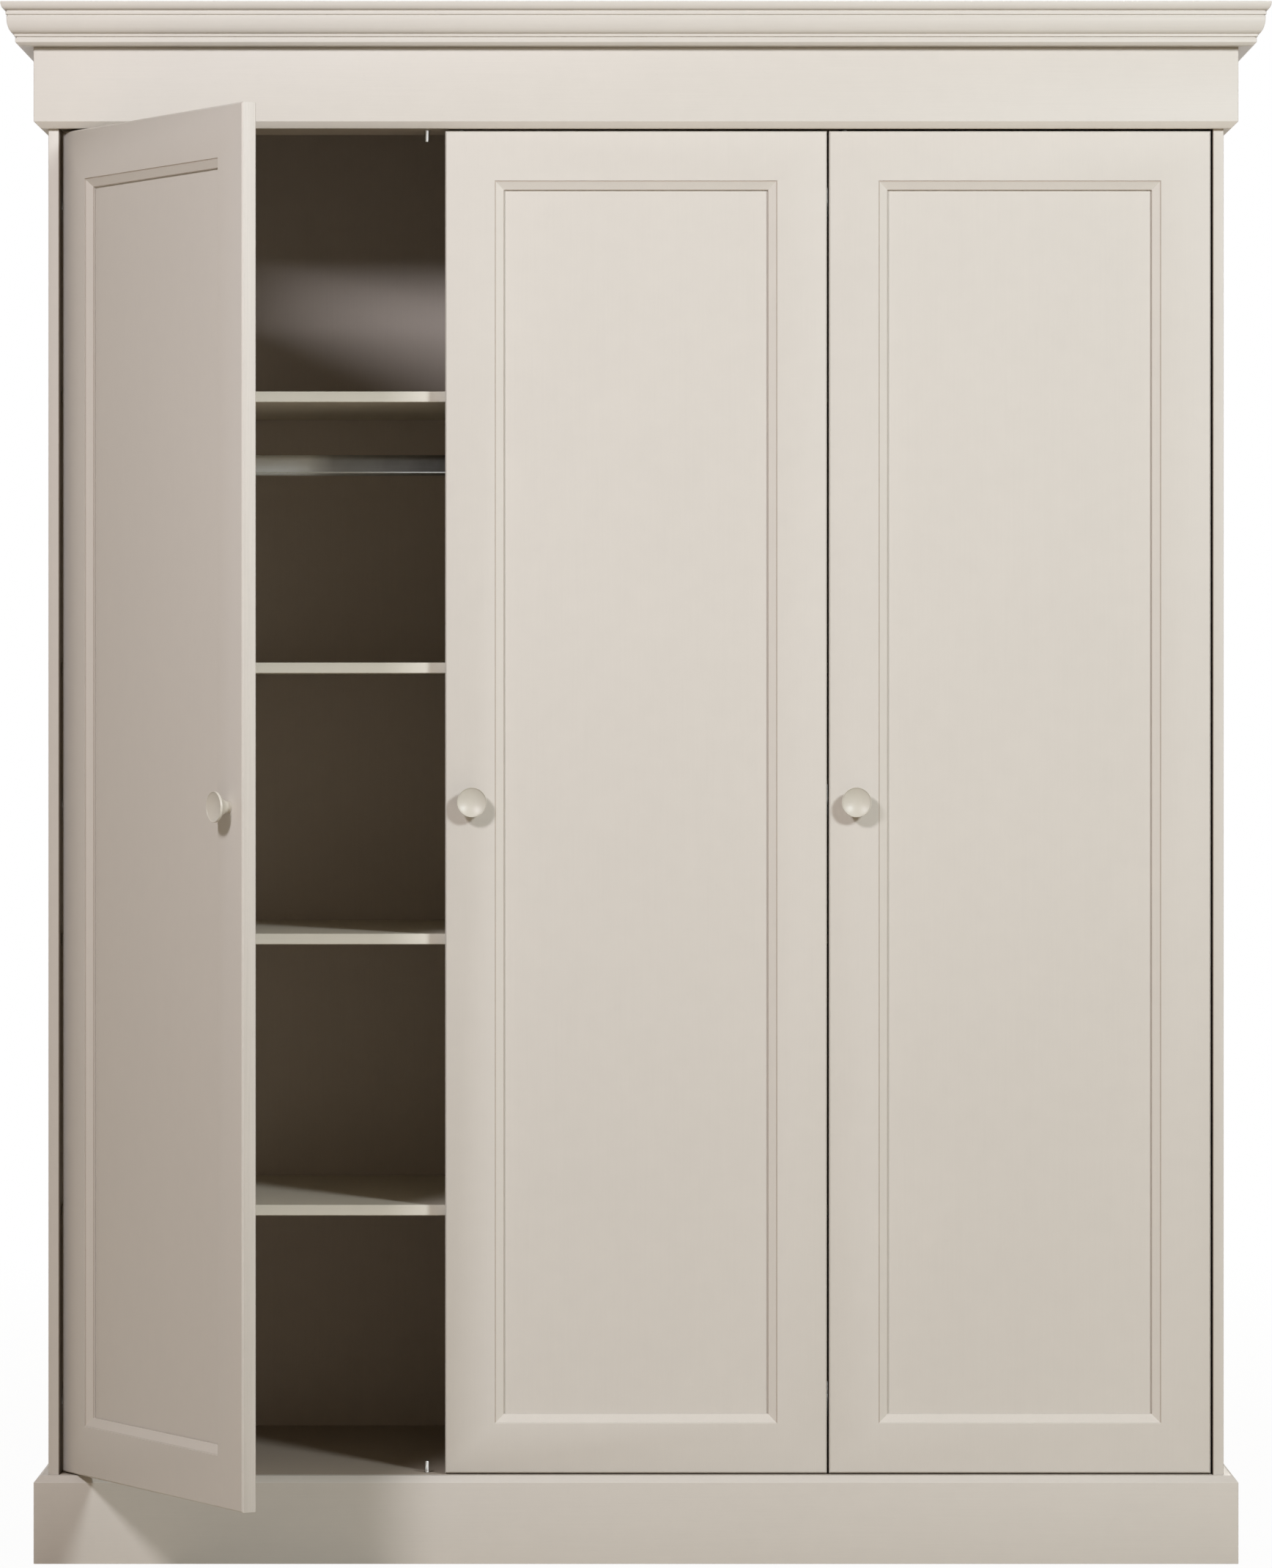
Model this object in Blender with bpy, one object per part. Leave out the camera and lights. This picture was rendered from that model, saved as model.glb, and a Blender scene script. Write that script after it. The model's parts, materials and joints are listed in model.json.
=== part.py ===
"""A three-door wardrobe: inset panelled doors between a chamfered plinth and a frieze with a cornice.

Metres, +Z up, +Y towards the back. The world origin is on the floor, under the
middle of the plinth's front board. Depths below count from the carcass front,
the plane of the closed doors' faces. The left door stands open.
"""
import math

import bmesh
import bpy
from mathutils import Matrix, Vector

# Carcass
CARCASS_WIDTH = 1.652
CARCASS_DEPTH = 0.597
BOARD = 0.015
EDGE_EASE = 0.0008
SEAT = 0.0003
HEAD_RAIL_DEPTH = 0.100
BACK_THICKNESS = 0.003
BACK_MARGIN = 0.002
FOLD_GROOVE = 0.0012

# Plinth, frieze and cornice
TRIM_BOARD = 0.019
TRIM_CHAMFER = 0.009
PLINTH_HEIGHT = 0.123
FRIEZE_HEIGHT = 0.1131
CORNICE_FOOT = 0.0193
CORNICE_BEVEL = 0.0043
CORNICE_FILLET = 0.0054
CORNICE_QUIRK = 0.0024
CORNICE_QUIRK_DEPTH = 0.0015
CORNICE_BEAD = 0.0035
CORNICE_BEAD_STEP = 0.0015
CORNICE_OVOLO_HEIGHT = 0.0239
CORNICE_OVOLO_REACH = 0.0098
CORNICE_BAND = 0.0036
CORNICE_BAND_STEP = 0.0011
CORNICE_CAP_HEIGHT = 0.0116
CORNICE_CAP_REACH = 0.0066
OVOLO_STEPS = 7

# Doors
DOOR_HEIGHT = 1.8868
DOOR_THICKNESS = 0.021
DOOR_BOTTOM_GAP = 0.002
DOOR_TOP_GAP = 0.0029
SWING_CLEARANCE = 0.0006
DOOR_COUNT = 3
DOOR_EDGE_CHAMFER = 0.002
DOOR_BACK_CHAMFER = 0.001
FRAME_WIDTH = 0.0698
FRAME_QUIRK = 0.0012
FRAME_BEVEL_WIDTH = 0.0115
FRAME_BEVEL_DEPTH = 0.0068
FRAME_LIP = 0.0035
PANEL_THICKNESS = 0.006
PANEL_REBATE = 0.008
LEFT_DOOR_OPEN = math.radians(58.2)

# Concealed hinges: a cup in the door, a cranked arm on the carcass
HINGE_END_INSET = 0.100
HINGE_PIN_EDGE = 0.020
HINGE_PIN_INSET = 0.0085
HINGE_PIN_RADIUS = 0.002
CUP_RADIUS = 0.0175
CUP_OFFSET = 0.002
CUP_DEPTH = 0.0139
CUP_WALL = 0.0011
CUP_WING_LENGTH = 0.060
CUP_WING_WIDTH = 0.017
CUP_WING_THICKNESS = 0.0012
ARM_THICKNESS = 0.003
ARM_WIDTH = 0.013
ARM_EYE_RADIUS = 0.0038
ARM_LEAVE_ANGLE = math.radians(37)
ARM_LEAVE_LENGTH = 0.024
ARM_NECK_RADIUS = 0.009
ARM_CHANNEL_LENGTH = 0.035
ARM_CHANNEL_HEIGHT = 0.010
ARM_CHANNEL_FLAT = 0.7
PLATE_THICKNESS = 0.0025
PLATE_LENGTH = 0.017
PLATE_HEIGHT = 0.048
NECK_STEPS = 9

# Knobs
KNOB_RADIUS = 0.021
KNOB_HEIGHT = 0.0235
KNOB_FOOT_RADIUS = 0.0078
KNOB_FOOT_FLANGE = 0.0008
KNOB_FOOT_HEIGHT = 0.0016
KNOB_EDGE = 0.038
KNOB_BAND = 0.0033
KNOB_LIP = 0.0008
KNOB_DISH = 0.0058
KNOB_FLARE_SPREAD = 3
KNOB_FLARE_RISE = 0.62
KNOB_FLARE_STEPS = 7
KNOB_DISH_STEPS = 6
KNOB_SMOOTH = math.radians(35)

# Door stop pins
STOP_RADIUS = 0.0035
STOP_LENGTH = 0.0165
STOP_FLANGE_RADIUS = 0.0048
STOP_FLANGE_THICKNESS = 0.0008
STOP_TIP_CHAMFER = 0.0008
STOP_DOOR_CLEARANCE = 0.0005
STOP_EDGE = 0.023
STOP_SMOOTH = math.radians(40)

# Shelves and hanging rail
SHELF_FIRST = 0.3761
SHELF_PITCH = 0.3828
SHELF_HEADROOM = 0.200
SHELF_SWING_GAP = 0.002
SHELF_END_GAP = 0.0005
SHELF_BACK_GAP = 0.001
PARTITION_DOOR_GAP = 0.001
RAIL_HEIGHT = 0.030
RAIL_WIDTH = 0.015
RAIL_WALL = 0.0012
RAIL_DROP = 0.079
SOCKET_WALL = 0.0028
SOCKET_BASE = 0.003
SOCKET_DEPTH = 0.013
OVAL_STEPS = 8

ROUND_STEPS = 32
KNOB_STEPS = 32
PIN_STEPS = 16

# Levels, worked out from the floor up
DOOR_BOTTOM = PLINTH_HEIGHT + DOOR_BOTTOM_GAP
DOOR_MIDDLE = DOOR_BOTTOM + DOOR_HEIGHT / 2
FRIEZE_BOTTOM = DOOR_BOTTOM + DOOR_HEIGHT + DOOR_TOP_GAP
FRIEZE_TOP = FRIEZE_BOTTOM + FRIEZE_HEIGHT
HEAD_RAIL_BOTTOM = FRIEZE_BOTTOM + SEAT

# Widths and depths, worked out from the doors' swing
INNER_HALF = CARCASS_WIDTH / 2 - BOARD
OUTER_HALF = CARCASS_WIDTH / 2
HINGE_PIN_DEPTH = DOOR_THICKNESS - HINGE_PIN_INSET
SWING_REACH = max(
    math.hypot(HINGE_PIN_EDGE, HINGE_PIN_DEPTH - DOOR_EDGE_CHAMFER),
    math.hypot(HINGE_PIN_EDGE - DOOR_EDGE_CHAMFER, HINGE_PIN_DEPTH),
    math.hypot(HINGE_PIN_EDGE, HINGE_PIN_INSET - DOOR_BACK_CHAMFER),
)
DOOR_GAP = SWING_REACH - HINGE_PIN_EDGE + SWING_CLEARANCE
DOOR_WIDTH = (2 * INNER_HALF - (DOOR_COUNT + 1) * DOOR_GAP) / DOOR_COUNT
DOOR_STEP = DOOR_WIDTH + DOOR_GAP
PARTITION_LEFT = DOOR_WIDTH / 2 + DOOR_GAP
PARTITION_RIGHT = PARTITION_LEFT + BOARD
PARTITION_FRONT = DOOR_THICKNESS + PARTITION_DOOR_GAP
SHELF_FRONT = HINGE_PIN_DEPTH + SWING_REACH + SHELF_SWING_GAP
RAIL_DEPTH = (SHELF_FRONT + CARCASS_DEPTH) / 2
STOP_DEPTH = DOOR_THICKNESS + STOP_DOOR_CLEARANCE + STOP_RADIUS
PANEL_FACE_DEPTH = FRAME_QUIRK + FRAME_BEVEL_DEPTH + FRAME_LIP
FRAME_OPENING = FRAME_WIDTH + FRAME_QUIRK + FRAME_BEVEL_WIDTH
PANEL_EDGE = FRAME_OPENING - PANEL_REBATE
HINGE_HEIGHTS = {
    "lower": -(DOOR_HEIGHT / 2 - HINGE_END_INSET),
    "middle": 0.0,
    "upper": DOOR_HEIGHT / 2 - HINGE_END_INSET,
}

# Ways to lay a prism: its outline's two axes and its length follow these columns
ALONG_Z = Matrix.Identity(3)
ALONG_X = Matrix(((0, 0, 1), (1, 0, 0), (0, 1, 0)))
ALONG_Y = Matrix(((0, 1, 0), (0, 0, 1), (1, 0, 0)))


def clear_scene():
    """Removes whatever the scene holds."""
    for item in list(bpy.data.objects):
        bpy.data.objects.remove(item, do_unlink=True)


def finish(name, colour, roughness, metallic=0.0):
    """A Principled material."""
    material = bpy.data.materials.new(name)
    material.use_nodes = True
    shader = material.node_tree.nodes["Principled BSDF"]
    shader.inputs["Base Color"].default_value = (*colour, 1.0)
    shader.inputs["Roughness"].default_value = roughness
    shader.inputs["Metallic"].default_value = metallic
    return material


def make_mesh(name, shape, material, smooth_angle=None):
    """Closes a bmesh into a mesh with outward faces."""
    bmesh.ops.recalc_face_normals(shape, faces=shape.faces)
    mesh = bpy.data.meshes.new(name)
    shape.to_mesh(mesh)
    shape.free()
    mesh.materials.append(material)
    if smooth_angle is not None:
        mesh.shade_smooth()
        mesh.set_sharp_from_angle(angle=smooth_angle)
    return mesh


def place(name, mesh, parent, location=(0, 0, 0), rotation=(0, 0, 0)):
    """Puts a mesh into the scene as one named piece."""
    piece = bpy.data.objects.new(name, mesh)
    piece.location = location
    piece.rotation_euler = rotation
    piece.parent = parent
    bpy.context.collection.objects.link(piece)
    return piece


def axis_empty(name, location, rotation=(0, 0, 0), parent=None):
    """An empty that carries pieces."""
    empty = bpy.data.objects.new(name, None)
    empty.location = location
    empty.rotation_euler = rotation
    empty.parent = parent
    bpy.context.collection.objects.link(empty)
    return empty


def ease_edges(piece):
    """Breaks a board's sharp edges."""
    bevel = piece.modifiers.new("eased edges", "BEVEL")
    bevel.width = EDGE_EASE
    bevel.segments = 1
    bevel.limit_method = "ANGLE"
    return piece


def board(name, material, parent, x, y, z):
    """A flat board between two places along each axis, with eased edges."""
    spans = (x, y, z)
    size = Vector([high - low for low, high in spans])
    centre = Vector([(low + high) / 2 for low, high in spans])
    shape = bmesh.new()
    bmesh.ops.create_cube(shape, size=1.0, matrix=Matrix.Diagonal(size.to_4d()))
    piece = place(name, make_mesh(name, shape, material), parent, centre)
    return ease_edges(piece)


def prism(outline, low, high, lay=ALONG_Z):
    """Extrudes a closed outline from low to high along the lay's length."""
    shape = bmesh.new()
    corners = [shape.verts.new(lay @ Vector((u, v, low))) for u, v in outline]
    cap = shape.faces.new(corners)
    risen = bmesh.ops.extrude_face_region(shape, geom=[cap])["geom"]
    lift = lay @ Vector((0, 0, high - low))
    bmesh.ops.translate(shape, vec=lift, verts=[v for v in risen if isinstance(v, bmesh.types.BMVert)])
    return shape


def turned(profile, steps):
    """Spins a profile of (radius, height) points round Z into a closed solid."""
    shape = bmesh.new()
    points = [shape.verts.new((radius, 0, height)) for radius, height in profile]
    edges = [shape.edges.new(pair) for pair in zip(points, points[1:])]
    bmesh.ops.spin(
        shape, geom=points + edges, cent=(0, 0, 0), axis=(0, 0, 1), angle=math.tau, steps=steps, use_merge=True
    )
    bmesh.ops.remove_doubles(shape, verts=shape.verts, dist=0.000001)
    return shape


def disc(radius, steps=ROUND_STEPS, centre=(0, 0)):
    """A round outline."""
    turns = [math.tau * i / steps for i in range(steps)]
    return [(centre[0] + radius * math.cos(t), centre[1] + radius * math.sin(t)) for t in turns]


def oval(width, height):
    """An upright oval outline: two straight sides between half rounds."""
    radius = width / 2
    straight = height / 2 - radius
    top = [math.pi * i / OVAL_STEPS for i in range(OVAL_STEPS + 1)]
    upper = [(radius * math.cos(t), straight + radius * math.sin(t)) for t in top]
    lower = [(-u, -v) for u, v in upper]
    return upper + lower


def combine(base, other, operation):
    """Joins or cuts one mesh with another and returns the result."""
    target = bpy.data.objects.new("target", base)
    tool = bpy.data.objects.new("tool", other)
    for item in (target, tool):
        bpy.context.collection.objects.link(item)
    change = target.modifiers.new("change", "BOOLEAN")
    change.operation = operation
    change.solver = "EXACT"
    change.object = tool
    graph = bpy.context.evaluated_depsgraph_get()
    result = bpy.data.meshes.new_from_object(target.evaluated_get(graph), depsgraph=graph)
    result.name = base.name
    for item in (target, tool):
        bpy.data.objects.remove(item, do_unlink=True)
    return result


def ovolo(reach, height):
    """A convex quarter curve that leaves outwards and arrives upright, from its start."""
    turns = [math.pi / 2 * i / OVOLO_STEPS for i in range(OVOLO_STEPS + 1)]
    return [(reach * math.sin(t), height * (1 - math.cos(t))) for t in turns]


def cornice_profile():
    """Points (outwards from the carcass, height) of the cornice, up its face and round its back."""
    out = TRIM_BOARD + CORNICE_FOOT
    level = FRIEZE_TOP + SEAT
    points = [(SEAT, level), (out, level)]
    out += CORNICE_BEVEL
    level += CORNICE_BEVEL
    points.append((out, level))
    level += CORNICE_FILLET
    points.append((out, level))
    points.append((out - CORNICE_QUIRK_DEPTH, level))
    level += CORNICE_QUIRK
    points.append((out - CORNICE_QUIRK_DEPTH, level))
    out += CORNICE_BEAD_STEP
    points.append((out, level))
    level += CORNICE_BEAD
    points.append((out, level))
    points += [(out + u, level + v) for u, v in ovolo(CORNICE_OVOLO_REACH, CORNICE_OVOLO_HEIGHT)[1:]]
    out += CORNICE_OVOLO_REACH
    level += CORNICE_OVOLO_HEIGHT
    points.append((out - CORNICE_QUIRK_DEPTH, level))
    level += CORNICE_QUIRK
    points.append((out - CORNICE_QUIRK_DEPTH, level))
    out += CORNICE_BAND_STEP
    points.append((out, level))
    level += CORNICE_BAND
    points.append((out, level))
    points.append((out - CORNICE_QUIRK_DEPTH, level))
    level += CORNICE_QUIRK
    points.append((out - CORNICE_QUIRK_DEPTH, level))
    points += [(out + u, level + v) for u, v in ovolo(CORNICE_CAP_REACH, CORNICE_CAP_HEIGHT)]
    level += CORNICE_CAP_HEIGHT
    points.append((SEAT, level))
    return points


def plinth_profile():
    """A board on edge with its top outer corner chamfered."""
    return [
        (SEAT, 0),
        (TRIM_BOARD, 0),
        (TRIM_BOARD, PLINTH_HEIGHT - TRIM_CHAMFER),
        (TRIM_BOARD - TRIM_CHAMFER, PLINTH_HEIGHT),
        (SEAT, PLINTH_HEIGHT),
    ]


def frieze_profile():
    """A board on edge with its bottom outer corner chamfered."""
    return [
        (SEAT, FRIEZE_BOTTOM),
        (TRIM_BOARD - TRIM_CHAMFER, FRIEZE_BOTTOM),
        (TRIM_BOARD, FRIEZE_BOTTOM + TRIM_CHAMFER),
        (TRIM_BOARD, FRIEZE_TOP),
        (SEAT, FRIEZE_TOP),
    ]


def run_between(profile, start, end):
    """Joins two placements of one profile into a closed length of moulding."""
    shape = bmesh.new()
    first = [shape.verts.new(start(out, level)) for out, level in profile]
    last = [shape.verts.new(end(out, level)) for out, level in profile]
    shape.faces.new(first)
    shape.faces.new(last)
    for i in range(len(profile)):
        j = (i + 1) % len(profile)
        shape.faces.new((first[i], first[j], last[j], last[i]))
    return shape


def surround(kind, profile, material, parent):
    """A front length mitred to a left and a right length round the carcass."""
    mitre = SEAT / 2

    def front_end(side):
        return lambda out, level: (side * (OUTER_HALF + out - mitre), -out, level)

    def side_front(side):
        return lambda out, level: (side * (OUTER_HALF + out), -out + mitre, level)

    def side_back(side):
        return lambda out, level: (side * (OUTER_HALF + out), CARCASS_DEPTH, level)

    front = run_between(profile, front_end(-1), front_end(1))
    place(f"{kind}_front", make_mesh(f"{kind}_front", front, material), parent)
    for name, side in (("left", -1), ("right", 1)):
        length = run_between(profile, side_front(side), side_back(side))
        place(f"{kind}_side_{name}", make_mesh(f"{kind}_side_{name}", length, material), parent)


def make_carcass(parent):
    """Sides, partition, top, bottom, head rail and back."""
    paint = finish("carcass paint", (0.62, 0.56, 0.48), 0.45)
    depth = (0, CARCASS_DEPTH)
    for name, side in (("left", -1), ("right", 1)):
        span = sorted((side * INNER_HALF, side * OUTER_HALF))
        board(f"side_panel_{name}", paint, parent, span, depth, (0, FRIEZE_TOP))
    between = (-INNER_HALF + SEAT, INNER_HALF - SEAT)
    behind = (SEAT, CARCASS_DEPTH)
    board("bottom_panel", paint, parent, between, behind, (PLINTH_HEIGHT - BOARD, PLINTH_HEIGHT))
    board("head_rail", paint, parent, between, (SEAT, HEAD_RAIL_DEPTH), (HEAD_RAIL_BOTTOM, HEAD_RAIL_BOTTOM + BOARD))
    lid = (FRIEZE_TOP + SEAT, FRIEZE_TOP + SEAT + BOARD)
    board("top_panel", paint, parent, (-OUTER_HALF, OUTER_HALF), behind, lid)
    make_partition(paint, parent)
    make_back(parent)


def make_partition(paint, parent):
    """An upright board behind the right door's free edge, notched round the head rail."""
    foot = PLINTH_HEIGHT + SEAT
    notch_depth = HEAD_RAIL_DEPTH + SEAT
    notch_level = HEAD_RAIL_BOTTOM - SEAT
    outline = [
        (PARTITION_FRONT, foot),
        (CARCASS_DEPTH, foot),
        (CARCASS_DEPTH, FRIEZE_TOP),
        (notch_depth, FRIEZE_TOP),
        (notch_depth, notch_level),
        (PARTITION_FRONT, notch_level),
    ]
    shape = prism(outline, PARTITION_LEFT, PARTITION_RIGHT, ALONG_X)
    ease_edges(place("centre_partition", make_mesh("centre_partition", shape, paint), parent))


def make_back(parent):
    """One thin sheet over the back edges, with two grooves where it folds for packing."""
    sheet = finish("back sheet", (0.55, 0.49, 0.41), 0.6)
    half = OUTER_HALF - BACK_MARGIN
    near = CARCASS_DEPTH + SEAT
    far = near + BACK_THICKNESS
    fold = (PARTITION_LEFT + PARTITION_RIGHT) / 2
    outline = [(-half, near), (half, near), (half, far)]
    for place_x in (fold, -fold):
        outline += [(place_x + FOLD_GROOVE, far), (place_x, far - FOLD_GROOVE), (place_x - FOLD_GROOVE, far)]
    outline.append((-half, far))
    levels = (PLINTH_HEIGHT - BOARD + BACK_MARGIN, FRIEZE_TOP + SEAT + BOARD - BACK_MARGIN)
    place("back_panel", make_mesh("back_panel", prism(outline, *levels), sheet), parent)


def shelf_levels():
    """Tops of the shelves that fit under the head rail, from the lowest."""
    levels = []
    top = PLINTH_HEIGHT + SHELF_FIRST
    while top + SHELF_HEADROOM < HEAD_RAIL_BOTTOM:
        levels.append(top)
        top += SHELF_PITCH
    return levels


def make_shelves(parent):
    """Equal shelves in the wide left bay and the narrow right bay."""
    paint = finish("shelf paint", (0.60, 0.54, 0.45), 0.48)
    bays = {
        "left": (-INNER_HALF + SHELF_END_GAP, PARTITION_LEFT - SHELF_END_GAP),
        "right": (PARTITION_RIGHT + SHELF_END_GAP, INNER_HALF - SHELF_END_GAP),
    }
    depth = (SHELF_FRONT, CARCASS_DEPTH - SHELF_BACK_GAP)
    for bay, span in bays.items():
        for number, top in enumerate(shelf_levels(), start=1):
            board(f"shelf_{bay}_{number}", paint, parent, span, depth, (top - BOARD, top))


def make_hanging_rail(parent):
    """An oval tube under the highest left shelf, held in a socket at each end."""
    chrome = finish("rail steel", (0.62, 0.61, 0.60), 0.25, 1.0)
    zinc = finish("socket zinc", (0.56, 0.55, 0.53), 0.35, 1.0)
    level = shelf_levels()[-1] - BOARD - RAIL_DROP
    left = -INNER_HALF + SEAT
    right = PARTITION_LEFT - SEAT
    rail_left = left + SOCKET_BASE + SEAT
    rail_right = right - SOCKET_BASE - SEAT
    tube = prism(oval(RAIL_WIDTH, RAIL_HEIGHT), rail_left, rail_right, ALONG_X)
    hollow = prism(
        oval(RAIL_WIDTH - 2 * RAIL_WALL, RAIL_HEIGHT - 2 * RAIL_WALL),
        rail_left - SOCKET_BASE,
        rail_right + SOCKET_BASE,
        ALONG_X,
    )
    tube = make_mesh("hanging_rail", tube, chrome)
    tube = combine(tube, make_mesh("rail bore", hollow, chrome), "DIFFERENCE")
    place("hanging_rail", tube, parent, (0, RAIL_DEPTH, level))
    grow = 2 * (SOCKET_WALL + SEAT)
    cup = prism(oval(RAIL_WIDTH + grow, RAIL_HEIGHT + grow), 0, SOCKET_DEPTH, ALONG_X)
    pocket = prism(oval(RAIL_WIDTH + 2 * SEAT, RAIL_HEIGHT + 2 * SEAT), SOCKET_BASE, 2 * SOCKET_DEPTH, ALONG_X)
    cup = make_mesh("rail_socket", cup, zinc)
    cup = combine(cup, make_mesh("socket pocket", pocket, zinc), "DIFFERENCE")
    place("rail_socket_left", cup, parent, (left, RAIL_DEPTH, level))
    place("rail_socket_right", cup, parent, (right, RAIL_DEPTH, level), (0, 0, math.pi))


def make_stops(parent):
    """A pin behind each door's free edge, on the bottom panel and under the head rail."""
    zinc = finish("stop zinc", (0.72, 0.70, 0.66), 0.3, 1.0)
    profile = [
        (0, 0),
        (STOP_FLANGE_RADIUS, 0),
        (STOP_FLANGE_RADIUS, STOP_FLANGE_THICKNESS),
        (STOP_RADIUS, STOP_FLANGE_THICKNESS),
        (STOP_RADIUS, STOP_LENGTH - STOP_TIP_CHAMFER),
        (STOP_RADIUS - STOP_TIP_CHAMFER, STOP_LENGTH),
        (0, STOP_LENGTH),
    ]
    pin = make_mesh("door_stop", turned(profile, PIN_STEPS), zinc, STOP_SMOOTH)
    free_edges = {
        "left": -DOOR_STEP + DOOR_WIDTH / 2 - STOP_EDGE,
        "middle": -DOOR_WIDTH / 2 + STOP_EDGE,
        "right": DOOR_STEP - DOOR_WIDTH / 2 + STOP_EDGE,
    }
    for door, x in free_edges.items():
        place(f"door_stop_{door}_lower", pin, parent, (x, STOP_DEPTH, PLINTH_HEIGHT + SEAT))
        hang = (x, STOP_DEPTH, HEAD_RAIL_BOTTOM - SEAT)
        place(f"door_stop_{door}_upper", pin, parent, hang, (math.pi, 0, 0))


def frame_section():
    """Points (inwards from the door's edge, depth) round a frame member's section."""
    bevel_start = FRAME_WIDTH + FRAME_QUIRK
    return [
        (DOOR_EDGE_CHAMFER, 0),
        (FRAME_WIDTH, 0),
        (FRAME_WIDTH, FRAME_QUIRK),
        (bevel_start, FRAME_QUIRK),
        (FRAME_OPENING, FRAME_QUIRK + FRAME_BEVEL_DEPTH),
        (FRAME_OPENING, PANEL_FACE_DEPTH),
        (PANEL_EDGE, PANEL_FACE_DEPTH),
        (PANEL_EDGE, DOOR_THICKNESS),
        (DOOR_BACK_CHAMFER, DOOR_THICKNESS),
        (0, DOOR_THICKNESS - DOOR_BACK_CHAMFER),
        (0, DOOR_EDGE_CHAMFER),
    ]


def door_frame_mesh(paint):
    """A four-sided frame, mitred at its corners, bored for three hinge cups.

    Local axes: X from the hinge pin to the free edge, Y to the back, Z up from mid-height.
    """
    left = -HINGE_PIN_EDGE
    right = DOOR_WIDTH - HINGE_PIN_EDGE
    half = DOOR_HEIGHT / 2
    shape = bmesh.new()
    rings = []
    for inset, depth in frame_section():
        y = depth - HINGE_PIN_DEPTH
        corners = [
            (left + inset, y, inset - half),
            (right - inset, y, inset - half),
            (right - inset, y, half - inset),
            (left + inset, y, half - inset),
        ]
        rings.append([shape.verts.new(corner) for corner in corners])
    for i, ring in enumerate(rings):
        following = rings[(i + 1) % len(rings)]
        for k in range(4):
            n = (k + 1) % 4
            shape.faces.new((ring[k], ring[n], following[n], following[k]))
    frame = make_mesh("door_frame", shape, paint)
    bore = CUP_RADIUS + SEAT
    floor = HINGE_PIN_INSET - CUP_DEPTH - SEAT
    for height in HINGE_HEIGHTS.values():
        cut = prism(disc(bore, centre=(height, CUP_OFFSET)), floor, HINGE_PIN_INSET + CUP_DEPTH, ALONG_Y)
        frame = combine(frame, make_mesh("cup bore", cut, paint), "DIFFERENCE")
    return frame


def door_panel_mesh(paint):
    """The flat panel that fits the frame's rebate from behind."""
    inset = PANEL_EDGE + SEAT
    x = (inset - HINGE_PIN_EDGE, DOOR_WIDTH - inset - HINGE_PIN_EDGE)
    half = DOOR_HEIGHT / 2 - inset
    near = PANEL_FACE_DEPTH + SEAT - HINGE_PIN_DEPTH
    outline = [(-half, x[0]), (half, x[0]), (half, x[1]), (-half, x[1])]
    return make_mesh("door_panel", prism(outline, near, near + PANEL_THICKNESS, ALONG_Y), paint)


def knob_mesh(paint):
    """A turned knob: a slim foot that flares into a head with a hollow face and a thin lip."""
    under = KNOB_HEIGHT - KNOB_BAND
    spread = KNOB_RADIUS - KNOB_FOOT_RADIUS
    rise = under - KNOB_FOOT_HEIGHT
    profile = [(0, 0), (KNOB_FOOT_RADIUS + KNOB_FOOT_FLANGE, 0)]
    for i in range(KNOB_FLARE_STEPS + 1):
        share = i / KNOB_FLARE_STEPS
        radius = KNOB_FOOT_RADIUS + spread * share**KNOB_FLARE_SPREAD
        profile.append((radius, KNOB_FOOT_HEIGHT + rise * share**KNOB_FLARE_RISE))
    profile.append((KNOB_RADIUS, KNOB_HEIGHT - KNOB_LIP))
    hollow = KNOB_RADIUS - KNOB_LIP
    for i in range(KNOB_DISH_STEPS + 1):
        reach = 1 - i / KNOB_DISH_STEPS
        profile.append((hollow * reach, KNOB_HEIGHT - KNOB_DISH * (1 - reach**2)))
    return make_mesh("knob", turned(profile, KNOB_STEPS), paint, KNOB_SMOOTH)


def hinge_cup_mesh(nickel):
    """A drawn cup with two screw wings and the hinge pin across it."""
    rim = HINGE_PIN_INSET
    floor = rim - CUP_DEPTH
    wing = (rim + SEAT, rim + SEAT + CUP_WING_THICKNESS)
    cup = make_mesh("hinge_cup", prism(disc(CUP_RADIUS, centre=(0, CUP_OFFSET)), floor, wing[1], ALONG_Y), nickel)
    half = CUP_WING_LENGTH / 2
    low = CUP_OFFSET - CUP_WING_WIDTH / 2
    high = CUP_OFFSET + CUP_WING_WIDTH / 2
    wings = prism([(-half, low), (half, low), (half, high), (-half, high)], *wing, ALONG_Y)
    cup = combine(cup, make_mesh("cup wings", wings, nickel), "UNION")
    bowl = disc(CUP_RADIUS - CUP_WALL, centre=(0, CUP_OFFSET))
    hollow = prism(bowl, floor + CUP_WALL, rim + CUP_DEPTH, ALONG_Y)
    cup = combine(cup, make_mesh("cup hollow", hollow, nickel), "DIFFERENCE")
    reach = math.sqrt((CUP_RADIUS - CUP_WALL / 2) ** 2 - CUP_OFFSET**2)
    pin = prism(disc(HINGE_PIN_RADIUS, PIN_STEPS), -reach, reach)
    return combine(cup, make_mesh("hinge_pin", pin, nickel), "UNION")


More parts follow.
